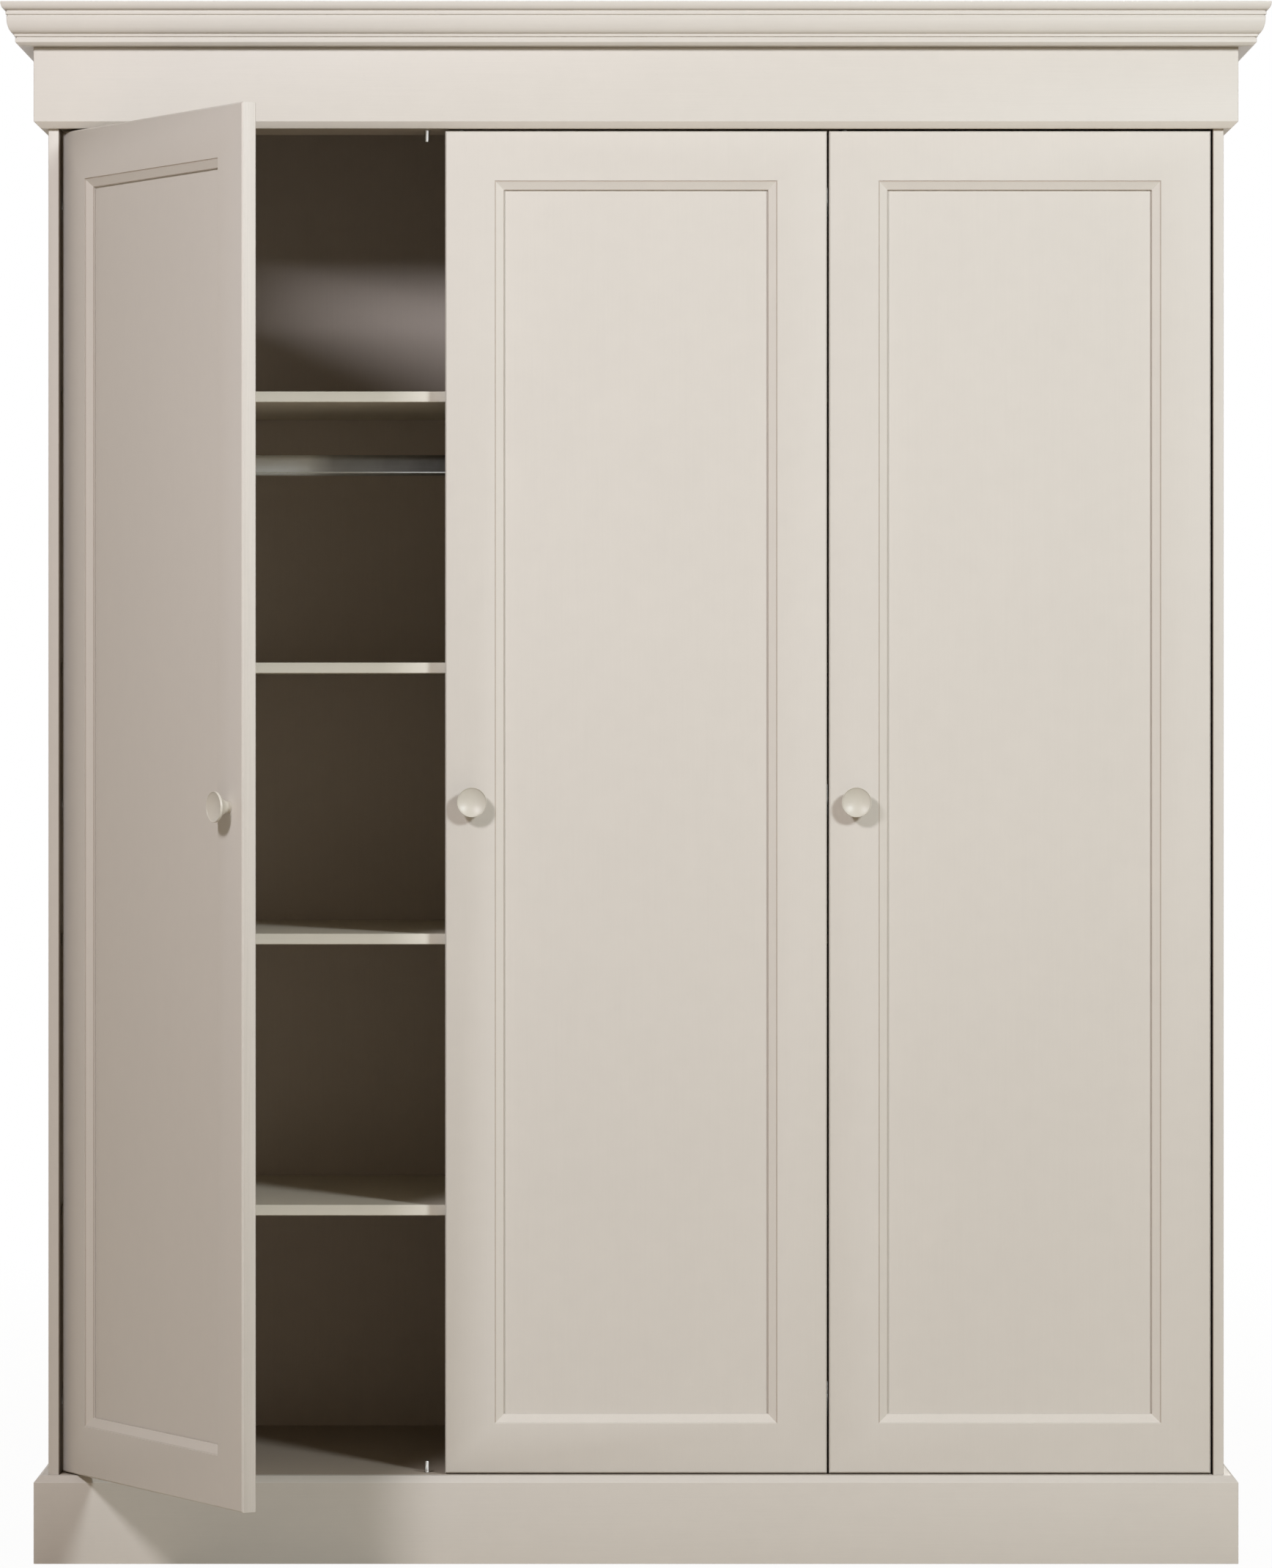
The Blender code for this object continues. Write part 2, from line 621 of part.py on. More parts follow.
def arm_centreline():
    """The cranked arm's path from the pin, round the door's edge, to the carcass board."""
    leave = Vector((math.cos(ARM_LEAVE_ANGLE), math.sin(ARM_LEAVE_ANGLE)))
    start = leave * ARM_LEAVE_LENGTH
    centre = start + ARM_NECK_RADIUS * Vector((-leave.y, leave.x))
    sweep = math.pi - ARM_LEAVE_ANGLE
    points = [Vector((0, 0))]
    for i in range(NECK_STEPS + 1):
        turn = ARM_LEAVE_ANGLE - math.pi / 2 + sweep * i / NECK_STEPS
        points.append(centre + ARM_NECK_RADIUS * Vector((math.cos(turn), math.sin(turn))))
    points.append(Vector((-HINGE_PIN_EDGE + PLATE_THICKNESS, points[-1].y)))
    return points


def strip(points, thickness):
    """A band of even thickness along a path."""
    ahead = [(b - a).normalized() for a, b in zip(points, points[1:])]
    ahead = [ahead[0]] + [(a + b).normalized() for a, b in zip(ahead, ahead[1:])] + [ahead[-1]]
    sides = [Vector((-d.y, d.x)) * thickness / 2 for d in ahead]
    right = [tuple(p - s) for p, s in zip(points, sides)]
    left = [tuple(p + s) for p, s in zip(points, sides)]
    return right + left[::-1]


def hinge_arm_mesh(nickel):
    """A cranked arm with an eye on the pin and a winged plate on the carcass board."""
    path = arm_centreline()
    half = ARM_WIDTH / 2
    face = -HINGE_PIN_EDGE - DOOR_GAP + SEAT
    arm = make_mesh("hinge_arm", prism(strip(path, ARM_THICKNESS), -half, half), nickel)
    eye = prism(disc(ARM_EYE_RADIUS, PIN_STEPS), -half + SEAT, half - SEAT)
    arm = combine(arm, make_mesh("arm eye", eye, nickel), "UNION")
    near = path[-1].y - ARM_THICKNESS / 2 - SEAT
    channel_half = half + SEAT
    outline = [
        (face, near),
        (face + ARM_CHANNEL_HEIGHT, near),
        (face + ARM_CHANNEL_HEIGHT, near + ARM_CHANNEL_LENGTH * ARM_CHANNEL_FLAT),
        (face + PLATE_THICKNESS, near + ARM_CHANNEL_LENGTH),
        (face, near + ARM_CHANNEL_LENGTH),
    ]
    arm = combine(arm, make_mesh("arm channel", prism(outline, -channel_half, channel_half), nickel), "UNION")
    plate_near = near + (ARM_CHANNEL_LENGTH - PLATE_LENGTH) / 2
    plate = [
        (face, plate_near),
        (face + PLATE_THICKNESS, plate_near),
        (face + PLATE_THICKNESS, plate_near + PLATE_LENGTH),
        (face, plate_near + PLATE_LENGTH),
    ]
    wings = prism(plate, -PLATE_HEIGHT / 2, PLATE_HEIGHT / 2)
    arm = combine(arm, make_mesh("arm plate", wings, nickel), "UNION")
    bore = prism(disc(HINGE_PIN_RADIUS + SEAT, PIN_STEPS), -ARM_WIDTH, ARM_WIDTH)
    return combine(arm, make_mesh("pin bore", bore, nickel), "DIFFERENCE")


def make_doors(parent):
    """Three like doors. The left one hangs at its left edge, the others at their right edges."""
    paint = finish("door paint", (0.63, 0.57, 0.49), 0.42)
    nickel = finish("hinge nickel", (0.66, 0.64, 0.60), 0.28, 1.0)
    frame = door_frame_mesh(paint)
    panel = door_panel_mesh(paint)
    knob = knob_mesh(finish("knob paint", (0.64, 0.58, 0.50), 0.38))
    cup = hinge_cup_mesh(nickel)
    arm = hinge_arm_mesh(nickel)
    pin_from_middle = DOOR_WIDTH / 2 - HINGE_PIN_EDGE
    upright = (0, 0, 0)
    turned_over = (0, math.pi, 0)
    hung = {
        "left": (-DOOR_STEP - pin_from_middle, upright, (0, 0, -LEFT_DOOR_OPEN)),
        "middle": (pin_from_middle, turned_over, turned_over),
        "right": (DOOR_STEP + pin_from_middle, turned_over, turned_over),
    }
    knob_place = (DOOR_WIDTH - HINGE_PIN_EDGE - KNOB_EDGE, -HINGE_PIN_DEPTH - SEAT, 0)
    for door, (pin_x, carcass_turn, door_turn) in hung.items():
        pin_place = (pin_x, HINGE_PIN_DEPTH, DOOR_MIDDLE)
        fixed = axis_empty(f"hinge_line_{door}", pin_place, carcass_turn, parent)
        swing = axis_empty(f"door_axis_{door}", pin_place, door_turn, parent)
        place(f"door_frame_{door}", frame, swing)
        place(f"door_panel_{door}", panel, swing)
        place(f"door_knob_{door}", knob, swing, knob_place, (math.pi / 2, 0, 0))
        for level, height in HINGE_HEIGHTS.items():
            place(f"hinge_cup_{door}_{level}", cup, swing, (0, 0, height))
            place(f"hinge_arm_{door}_{level}", arm, fixed, (0, 0, height))


def main():
    clear_scene()
    origin = axis_empty("carcass_front", (0, TRIM_BOARD / 2, 0))
    trim = finish("trim paint", (0.66, 0.60, 0.52), 0.45)
    make_carcass(origin)
    surround("plinth", plinth_profile(), trim, origin)
    surround("frieze", frieze_profile(), trim, origin)
    surround("cornice", cornice_profile(), trim, origin)
    make_shelves(origin)
    make_hanging_rail(origin)
    make_stops(origin)
    make_doors(origin)
    bpy.context.view_layer.update()


main()
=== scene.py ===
# %% [markdown]
# # Dressing a painted three-door wardrobe
#
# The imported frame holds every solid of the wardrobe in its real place: boards, mouldings, doors,
# hinges, rail and pins. This lesson turns those solids into the object a photographer would see.
# It rounds the arrises that paint rounds, gives each surface its finish, adds the small fasteners
# that repeat, and sets up the camera and the lamps. Nothing from the frame is moved or resized.

# %% Load the frame
import json
import math

import bmesh
import bpy
from mathutils import Matrix, Vector

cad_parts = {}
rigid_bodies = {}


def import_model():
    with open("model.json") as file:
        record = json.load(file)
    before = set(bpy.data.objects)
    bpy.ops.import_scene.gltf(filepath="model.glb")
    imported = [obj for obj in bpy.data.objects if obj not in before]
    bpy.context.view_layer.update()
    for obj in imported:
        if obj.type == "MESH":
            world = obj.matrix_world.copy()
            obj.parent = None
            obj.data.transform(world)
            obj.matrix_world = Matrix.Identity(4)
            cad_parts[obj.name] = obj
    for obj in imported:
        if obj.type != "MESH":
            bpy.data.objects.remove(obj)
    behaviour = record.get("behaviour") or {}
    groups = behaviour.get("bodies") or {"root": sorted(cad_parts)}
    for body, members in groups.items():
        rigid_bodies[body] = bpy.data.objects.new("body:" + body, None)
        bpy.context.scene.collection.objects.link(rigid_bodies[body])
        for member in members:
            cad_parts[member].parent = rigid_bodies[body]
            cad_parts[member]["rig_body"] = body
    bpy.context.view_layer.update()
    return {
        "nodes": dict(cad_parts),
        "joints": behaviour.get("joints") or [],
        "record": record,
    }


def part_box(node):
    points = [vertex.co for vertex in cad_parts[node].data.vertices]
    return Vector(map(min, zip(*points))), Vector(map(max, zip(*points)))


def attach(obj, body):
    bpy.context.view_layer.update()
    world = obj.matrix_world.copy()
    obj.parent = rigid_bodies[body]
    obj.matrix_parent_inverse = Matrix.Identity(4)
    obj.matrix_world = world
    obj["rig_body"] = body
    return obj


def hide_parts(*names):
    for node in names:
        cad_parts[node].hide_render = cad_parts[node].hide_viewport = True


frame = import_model()
scene = bpy.context.scene
nodes = frame["nodes"]
slot_of = {part["node"]: part["material_slot"] for part in frame["record"]["subparts"]}

# %% [markdown]
# ## The camera
#
# The photograph was taken square on with a long lens, and its upright edges stay upright. The
# camera could be tilted and the picture straightened later. A lens shift does it at once: the
# camera looks level, and the frame slides down until the plinth stands at the bottom edge.

# %% Place the camera
PHOTO_HEIGHT = 2140
HORIZON_ROW = 957
FOCAL_PIXELS = 8545
PIXEL_AT_FRONT = 0.00103
EYE_HEIGHT = 1.2102
SENSOR = 36.0

carcass_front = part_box("side_panel_left")[0].y
lens = bpy.data.cameras.new("studio camera")
lens.sensor_width = SENSOR
lens.lens = SENSOR * FOCAL_PIXELS / PHOTO_HEIGHT
lens.shift_y = (HORIZON_ROW - PHOTO_HEIGHT / 2) / PHOTO_HEIGHT
camera = bpy.data.objects.new("studio camera", lens)
camera.location = (0, carcass_front - FOCAL_PIXELS * PIXEL_AT_FRONT, EYE_HEIGHT)
camera.rotation_euler = (math.pi / 2, 0, 0)
scene.collection.objects.link(camera)
scene.camera = camera
print("camera", tuple(round(v, 3) for v in camera.location), "lens", round(lens.lens, 1), "mm")

# %% [markdown]
# ## Writing node trees as sums
#
# Node trees are easier to read as expressions. One small class holds a socket and answers to the
# arithmetic signs, so that `1 - mask` adds a Math node. A second class holds a tree and has one
# method that adds any other node from its type, its settings and its inputs. Both serve shaders,
# the world and Geometry Nodes alike.


# %% Define sockets that add up
class Value:
    """An output socket that can stand in a sum: each sign adds one Math node to its tree."""

    def __init__(self, graph, socket):
        self.graph = graph
        self.socket = socket

    def joined(self, operation, first, second):
        return self.graph.node("ShaderNodeMath", {"operation": operation}, {0: first, 1: second})

    def __add__(self, other):
        return self.joined("ADD", self, other)

    def __radd__(self, other):
        return self.joined("ADD", other, self)

    def __sub__(self, other):
        return self.joined("SUBTRACT", self, other)

    def __rsub__(self, other):
        return self.joined("SUBTRACT", other, self)

    def __mul__(self, other):
        return self.joined("MULTIPLY", self, other)

    def __rmul__(self, other):
        return self.joined("MULTIPLY", other, self)

    def __gt__(self, other):
        return self.joined("GREATER_THAN", self, other)


class Graph:
    """A node tree that is built one node at a time."""

    def __init__(self, tree):
        self.tree = tree
        tree.nodes.clear()

    def node(self, kind, settings=None, inputs=None, output=0):
        """Adds a node, sets it up, feeds its inputs and returns one of its outputs."""
        made = self.tree.nodes.new(kind)
        for name, setting in (settings or {}).items():
            setattr(made, name, setting)
        for name, given in (inputs or {}).items():
            for source in given if isinstance(given, list) else [given]:
                if isinstance(source, Value):
                    self.tree.links.new(source.socket, made.inputs[name])
                else:
                    made.inputs[name].default_value = source
        return Value(self, made.outputs[output]) if len(made.outputs) else made


print("node helpers ready")

# %% [markdown]
# ## Studio light
#
# Every knob throws two soft shadows, so there were two softboxes in front of the wardrobe: one on
# the left, near and low in green, and one on the right, farther off. Round area lamps of that
# size give the same soft edges. A third stands behind, out of the picture, and lets the back and
# the outer sides be looked at as well. The shadows are warm, so the rest is even light from a warm
# room, which the world gives. To the camera, and in reflections, the world is plain white.

# %% Set up lamps and world
scene.view_settings.view_transform = "Standard"
ROOM_LIGHT = 0.165
ROOM_COLOUR = (1.0, 0.76, 0.46, 1)
lamps = {
    "left softbox": {
        "place": (-1.65, -3.00, 2.95),
        "aim": (0.3, 0, -1.2),
        "size": 0.62,
        "power": 80,
        "colour": (0.943, 0.929, 1.0),
    },
    "right softbox": {
        "place": (2.75, -4.20, 3.15),
        "aim": (0.5, 0, 1.7),
        "size": 0.85,
        "power": 167,
        "colour": (0.876, 0.943, 1.0),
    },
    "rear softbox": {
        "place": (0.9, 4.60, 3.40),
        "aim": (0, 0.6, 1.0),
        "size": 1.60,
        "power": 150,
        "colour": (1.0, 0.965, 0.91),
    },
}


def add_softbox(name, place, aim, size, power, colour):
    """A round area lamp aimed at a point of the wardrobe."""
    light = bpy.data.lights.new(name, "AREA")
    light.shape = "DISK"
    light.size = size
    light.energy = power
    light.color = colour
    lamp = bpy.data.objects.new(name, light)
    lamp.location = place
    lamp.rotation_mode = "QUATERNION"
    lamp.rotation_quaternion = (Vector(aim) - lamp.location).to_track_quat("-Z", "Y")
    scene.collection.objects.link(lamp)


def seen_directly(graph):
    """1 where a ray comes from the camera or from a mirror-like surface, else 0."""
    kinds = ("Is Camera Ray", "Is Glossy Ray", "Is Transmission Ray")
    camera_ray, glossy_ray, clear_ray = (
        graph.node("ShaderNodeLightPath", output=kind) for kind in kinds
    )
    return camera_ray + glossy_ray + clear_ray > 0.5


for name, lamp in lamps.items():
    add_softbox(name, **lamp)

world = bpy.data.worlds.new("pale room")
scene.world = world
world.use_nodes = True
room = Graph(world.node_tree)
shown = seen_directly(room)
dim = room.node("ShaderNodeBackground", inputs={"Color": ROOM_COLOUR, "Strength": ROOM_LIGHT})
white = room.node("ShaderNodeBackground", inputs={"Color": (1, 1, 1, 1), "Strength": 1.0})
both = room.node("ShaderNodeMixShader", inputs={0: shown, 1: dim, 2: white})
room.node("ShaderNodeOutputWorld", inputs={"Surface": both})
print("lamps", list(lamps), "room light", ROOM_LIGHT)

# %% [markdown]
# ## The floor
#
# The floor is a pale sweep that runs out into the white background. Plain white paint would turn
# grey where the lamps are far away. To the camera the floor therefore glows a little, more so
# with distance, so that only the wardrobe's own shadow shows on it.

# %% Lay the floor
FLOOR_REACH = 14.0
FLOOR_COLOUR = (0.52, 0.455, 0.36, 1)
FLOOR_GLOW = 0.97
FADE_START = 2.0
FADE_END = 5.0


def floor_finish():
    """Pale matt paint that fades into a white background."""
    material = bpy.data.materials.new("studio floor")
    material.use_nodes = True
    graph = Graph(material.node_tree)
    place = graph.node("ShaderNodeTexCoord", output="Object")
    away = graph.node("ShaderNodeVectorMath", {"operation": "LENGTH"}, {0: place}, "Value")
    fade_inputs = {"Value": away, "From Min": FADE_START, "From Max": FADE_END, "To Min": FLOOR_GLOW}
    fade = graph.node("ShaderNodeMapRange", {}, {**fade_inputs, "To Max": 1.0})
    speck = graph.node("ShaderNodeTexNoise", {}, {"Vector": place, "Scale": 60.0, "Detail": 3.0})
    bump = graph.node("ShaderNodeBump", {}, {"Strength": 0.05, "Distance": 0.001, "Height": speck})
    paint = graph.node("ShaderNodeBsdfDiffuse", {}, {"Color": FLOOR_COLOUR, "Normal": bump})
    glow = graph.node("ShaderNodeEmission", {}, {"Color": (1, 1, 1, 1), "Strength": 1.0})
    mixed = graph.node("ShaderNodeMixShader", {}, {0: seen_directly(graph) * fade, 1: paint, 2: glow})
    graph.node("ShaderNodeOutputMaterial", inputs={"Surface": mixed})
    return material


sweep = bmesh.new()
bmesh.ops.create_circle(sweep, cap_ends=True, segments=96, radius=FLOOR_REACH)
floor_mesh = bpy.data.meshes.new("floor")
sweep.to_mesh(floor_mesh)
sweep.free()
floor_mesh.materials.append(floor_finish())
floor = bpy.data.objects.new("floor", floor_mesh)
scene.collection.objects.link(floor)
print("floor radius", FLOOR_REACH)

# %% [markdown]
# ## Satin paint over wood grain
#
# The wardrobe is painted a warm off-white. Under the paint runs a fine grain, long in one
# direction, with short pores, and the sprayed paint has a slight texture of its own. One flat
# colour would look like plastic. Stretched noise makes the fibres, a second one cut off near its
# top makes the pores, and slow noise makes the paint drift a little in tone. The `arris` value of
# a mesh is 1 along its rounded edges, where hands polish the paint smoother and a lighter tone
# there is a painted highlight.

# %% Define the painted finish
AXES = {"x": 0, "y": 1, "z": 2}
FIBRE_WIDTH = 0.0016
FIBRE_LENGTH = 0.13
PORE_WIDTH = 0.0007
PORE_LENGTH = 0.011
PORE_CUT = (0.67, 0.74)
DRIFT_SCALE = 2.6
CLOUD_SCALE = 34.0
PEEL_SCALE = 850.0


def new_finish(name):
    """An empty material, its tree, and the Object coordinates that its patterns read."""
    material = bpy.data.materials.new(name)
    material.use_nodes = True
    graph = Graph(material.node_tree)
    place = graph.node("ShaderNodeTexCoord", output="Object")
    return material, graph, place


def noise(graph, place, scale, detail=2.0, distortion=0.0):
    """Noise between 0 and 1 at a scale in cycles for each metre, or for each unit of place."""
    return graph.node(
        "ShaderNodeTexNoise",
        {},
        {"Vector": place, "Scale": scale, "Detail": detail, "Roughness": 0.55, "Distortion": distortion},
    )


def stretched(graph, place, along, width, length):
    """Coordinates in which a pattern becomes long along one axis and thin across it."""
    scale = [1 / width] * 3
    scale[AXES[along]] = 1 / length
    return graph.node("ShaderNodeMapping", {}, {"Vector": place, "Scale": tuple(scale)})


def cut(graph, value, low, high):
    """0 below low, 1 above high and a ramp between."""
    return graph.node("ShaderNodeMapRange", {}, {"Value": value, "From Min": low, "From Max": high})


def blend_colours(graph, factor, first, second):
    """A mix of two colours."""
    inputs = {0: factor, 6: (*first, 1) if isinstance(first, tuple) else first}
    inputs[7] = (*second, 1) if isinstance(second, tuple) else second
    return graph.node("ShaderNodeMix", {"data_type": "RGBA", "clamp_factor": True}, inputs, 2)


def tinted(colour, share):
    """A colour made lighter or darker by a share."""
    return tuple(channel * (1 + share) for channel in colour)


def surface(graph, **inputs):
    """Ends a tree in a Principled surface."""
    named = {}
    for name, value in inputs.items():
        named[name.replace("_", " ").title().replace("Ior", "IOR")] = value
    shader = graph.node("ShaderNodeBsdfPrincipled", {}, named)
    graph.node("ShaderNodeOutputMaterial", inputs={"Surface": shader})


def painted_wood(name, colour, along, roughness=0.45, shine=0.22, grain=1.0):
    """Satin paint over embossed grain that runs along one axis."""
    material, graph, place = new_finish(name)
    fibre = noise(graph, stretched(graph, place, along, FIBRE_WIDTH, FIBRE_LENGTH), 1.0, 3.0, 0.5)
    pore_field = noise(graph, stretched(graph, place, along, PORE_WIDTH, PORE_LENGTH), 1.0, 1.0)
    pore = cut(graph, pore_field, *PORE_CUT)
    drift = noise(graph, place, DRIFT_SCALE)
    cloud = noise(graph, place, CLOUD_SCALE)
    peel = noise(graph, place, PEEL_SCALE)
    arris = graph.node("ShaderNodeAttribute", {"attribute_name": "arris"}, output="Fac")
    slow = 0.35 * (drift - 0.5) + 0.25 * (cloud - 0.5)
    fine = grain * (0.5 * (fibre - 0.5) - 0.22 * pore)
    # The arris term lightens the rounded edges: a painted highlight.
    tone = 0.5 + slow + fine + 0.3 * arris * fibre
    paint = blend_colours(graph, tone, tinted(colour, -0.07), tinted(colour, 0.07))
    gloss = roughness + 0.12 * (fibre - 0.5) + 0.10 * (cloud - 0.5) + 0.10 * pore - 0.06 * arris
    relief = grain * (0.6 * fibre - 0.8 * pore) + 0.3 * peel
    normal = graph.node("ShaderNodeBump", {}, {"Strength": 0.30, "Distance": 0.00012, "Height": relief})
    surface(graph, base_color=paint, roughness=gloss, normal=normal, specular_ior_level=shine)
    return material


WARM_WHITE = (0.645, 0.608, 0.548)
SHELF_WHITE = (0.68, 0.62, 0.51)
# Painted light: a lighter white on the front edges of the shelves and the bottom panel.
SHELF_EDGE_PAINTED_LIGHT = (0.84, 0.80, 0.70)
# Painted shade: a dark beige on the faces inside the bays, the partition and the top's underside.
INSIDE_PAINTED_SHADE = (0.245, 0.204, 0.163)
# Painted shade: a darker beige for the bottom panel and the head rail inside the bays.
BOTTOM_PAINTED_SHADE = (0.42, 0.36, 0.29)
# A dark brown for the panel's rim: a bare line and painted shade of the gap beside the frame.
RIM_GAP_SHADE_BROWN = (0.22, 0.142, 0.108)
# A brown for the fine lines round the bevels: a dark joint with painted shade.
JOINT_AND_SHADE_BROWN = (0.33, 0.25, 0.20)
# Painted shade: a darker beige for the narrow step beside the bevels.
QUIRK_PAINTED_SHADE = (0.46, 0.385, 0.32)
# Painted shade: a near-black brown for the discs that stand for the pin holes.
HOLE_SHADE_BROWN = (0.050, 0.036, 0.025)
KNOB_WHITE = (0.572, 0.540, 0.462)
# Painted light: a lighter white for the undersides of the cornice's returns, as for light from below.
CORNICE_UNDERSIDE_LIGHT = (0.80, 0.785, 0.79)
paints = {
    "upright": painted_wood("upright grain paint", WARM_WHITE, "z", grain=0.45),
    "long": painted_wood("long grain paint", WARM_WHITE, "x", grain=0.8),
    "deep": painted_wood("deep grain paint", WARM_WHITE, "y", grain=0.8),
    "inside": painted_wood("inside painted shade", INSIDE_PAINTED_SHADE, "z", 0.55, 0.10),
    "bottom": painted_wood("bottom panel painted shade", BOTTOM_PAINTED_SHADE, "x", 0.55, 0.10),
    "shelf": painted_wood("shelf paint", SHELF_WHITE, "x", 0.50, 0.12, 1.6),
    "shelf_edge": painted_wood("shelf edge painted light", SHELF_EDGE_PAINTED_LIGHT, "x", 0.45, 0.15, 0.7),
    "knob": painted_wood("knob paint", KNOB_WHITE, "y", 0.40, 0.5, 0.3),
    "primer": painted_wood("primer", CORNICE_UNDERSIDE_LIGHT, "y", 0.45, 0.52),
    # Painted light: the frieze's downward faces are painted lighter, as for light from below.
    "lower_edge": painted_wood("underside painted light", tinted(WARM_WHITE, 0.16), "x", grain=0.8),
    "door_edge": painted_wood("door edge paint", tinted(WARM_WHITE, -0.07), "z", grain=2.4),
    # Painted light: the bevel strips are a little lighter than the frame.
    "bevel_strip": painted_wood("bevel strip painted light", tinted(WARM_WHITE, 0.05), "z", grain=0.8),
    "joint_and_shade_line": painted_wood("joint line and painted shade", JOINT_AND_SHADE_BROWN, "z", 0.60, 0.10),
    "quirk": painted_wood("quirk painted shade", QUIRK_PAINTED_SHADE, "z", 0.60, 0.10),
    "rim_gap_shade": painted_wood("panel rim gap shade", RIM_GAP_SHADE_BROWN, "z", 0.70, 0.10),
    "drilled": painted_wood("painted hole shade", HOLE_SHADE_BROWN, "z", 0.80, 0.05),
}
print("paints", list(paints))

# %% [markdown]
# ## Hardboard
#
# The back is one thin sheet of hardboard, painted on the side that faces the clothes and raw
# behind. Raw hardboard is pressed from brown fibres, so it is speckled, matt and a little uneven.
# Two materials on one mesh do this more simply than a mask.

# %% Define the back sheet's two sides
INSIDE_WHITE = (0.645, 0.575, 0.505)
FIBRE_BROWN = (0.235, 0.150, 0.085)


def raw_hardboard():
    """Brown pressed fibre with light and dark flecks."""
    material, graph, place = new_finish("raw hardboard")
    fleck = noise(graph, place, 420.0, 4.0, 1.2)
    patch = noise(graph, place, 6.0, 3.0)
    strand = cut(graph, noise(graph, place, 160.0, 2.0, 3.0), 0.56, 0.66)
    tone = fleck + 0.5 * (patch - 0.5) + 0.25 * strand
    colour = blend_colours(graph, tone, tinted(FIBRE_BROWN, -0.35), tinted(FIBRE_BROWN, 0.45))
    relief = fleck + 0.6 * strand
    normal = graph.node("ShaderNodeBump", {}, {"Strength": 0.45, "Distance": 0.0003, "Height": relief})
    gloss = 0.72 + 0.2 * (fleck - 0.5)
    surface(graph, base_color=colour, roughness=gloss, normal=normal, specular_ior_level=0.25)
    return material


back_finishes = [painted_wood("inside back paint", INSIDE_WHITE, "z", 0.55, 0.08), raw_hardboard()]
print("back sheet", [finish.name for finish in back_finishes])

# %% [markdown]
# ## Plated metal
#
# The hinges are nickel-plated pressings, and the stops, sockets and pins are zinc plated. What
# tells them apart is the roughness, the tint, and the fine drawing lines or the faint spangle left
# by plating. The rail is steel tube under a dull coat. Its coat is painted light at the left, then
# painted shade quickly darker to the right, with a painted highlight as a bright line low down,
# so its coat follows the tube's length.


# %% Define the metals
def plated_metal(name, colour, roughness, along, lines=0.10, spangle=0.0):
    """Metal with drawing lines along one axis and a faint plating spangle."""
    material, graph, place = new_finish(name)
    line = noise(graph, stretched(graph, place, along, 0.0004, 0.06), 1.0, 2.0)
    haze = noise(graph, place, 55.0, 3.0)
    cell = graph.node("ShaderNodeTexVoronoi", {}, {"Vector": place, "Scale": 700.0})
    arris = graph.node("ShaderNodeAttribute", {"attribute_name": "arris"}, output="Fac")
    # The arris term lightens the pressed edges: a painted highlight.
    tone = 0.5 + 0.5 * (haze - 0.5) + 0.4 * (line - 0.5) + spangle * (cell - 0.5) + 0.3 * arris
    tint = blend_colours(graph, tone, tinted(colour, -0.12), tinted(colour, 0.10))
    gloss = roughness + lines * (line - 0.5) + 0.10 * (haze - 0.5) + 0.3 * spangle * (cell - 0.5)
    normal = graph.node("ShaderNodeBump", {}, {"Strength": 0.15, "Distance": 0.00005, "Height": line})
    surface(graph, base_color=tint, metallic=1.0, roughness=gloss, normal=normal)
    return material


# The rail's colours: a light one for painted light at the left and the painted highlight low down, a
# dark one for painted shade to the right.
RAIL_PAINTED_LIGHT = (0.96, 1.0, 1.0)
RAIL_PAINTED_SHADE = (0.155, 0.15, 0.148)
RAIL_DROP = (-0.480, -0.440)
RAIL_FALL = (-0.440, -0.270)
RAIL_SHARES = (0.68, 0.32)
RAIL_HIGHLIGHT_BAND = (0.0045, 0.0014)


def rail_finish():
    """Dull steel, painted light at left and shade at right, a painted highlight on the rolled lower
    edge.
    """
    material, graph, place = new_finish("satin rail tube")
    along, level = (graph.node("ShaderNodeSeparateXYZ", {}, {0: place}, axis) for axis in "XZ")
    line = noise(graph, stretched(graph, place, "x", 0.0006, 0.08), 1.0, 2.0)
    haze = noise(graph, place, 40.0, 3.0)
    # The tone along the tube is painted light at the left and painted shade to the right.
    drop, fall = (cut(graph, along, *span) for span in (RAIL_DROP, RAIL_FALL))
    shade = RAIL_SHARES[0] * drop + RAIL_SHARES[1] * fall
    painted_shade_tone = shade + 0.10 * (line - 0.5) + 0.15 * (haze - 0.5)
    # A bright band along the lower edge: a painted highlight.
    offset = level - (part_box("hanging_rail")[0].z + RAIL_HIGHLIGHT_BAND[0])
    away = graph.node("ShaderNodeMath", {"operation": "ABSOLUTE"}, {0: offset})
    edge = 1 - cut(graph, away, 0.0, RAIL_HIGHLIGHT_BAND[1])
    coat = blend_colours(graph, painted_shade_tone * (1 - edge), RAIL_PAINTED_LIGHT, RAIL_PAINTED_SHADE)
    gloss = 0.36 + 0.14 * (line - 0.5) - 0.20 * edge
    normal = graph.node("ShaderNodeBump", {}, {"Strength": 0.15, "Distance": 0.00005, "Height": line})
    surface(graph, base_color=coat, metallic=0.10 + 0.90 * edge, roughness=gloss, normal=normal)
    return material


metals = {
    "rail_steel": rail_finish(),
    "socket_zinc": plated_metal("socket casting", (0.54, 0.535, 0.52), 0.36, "x", 0.06, 0.25),
    "stop_zinc": plated_metal("bright zinc", (0.74, 0.735, 0.71), 0.22, "z", 0.08, 0.2),
    "hinge_nickel": plated_metal("nickel plate", (0.66, 0.645, 0.61), 0.26, "z", 0.10),
}
print("metals", list(metals))

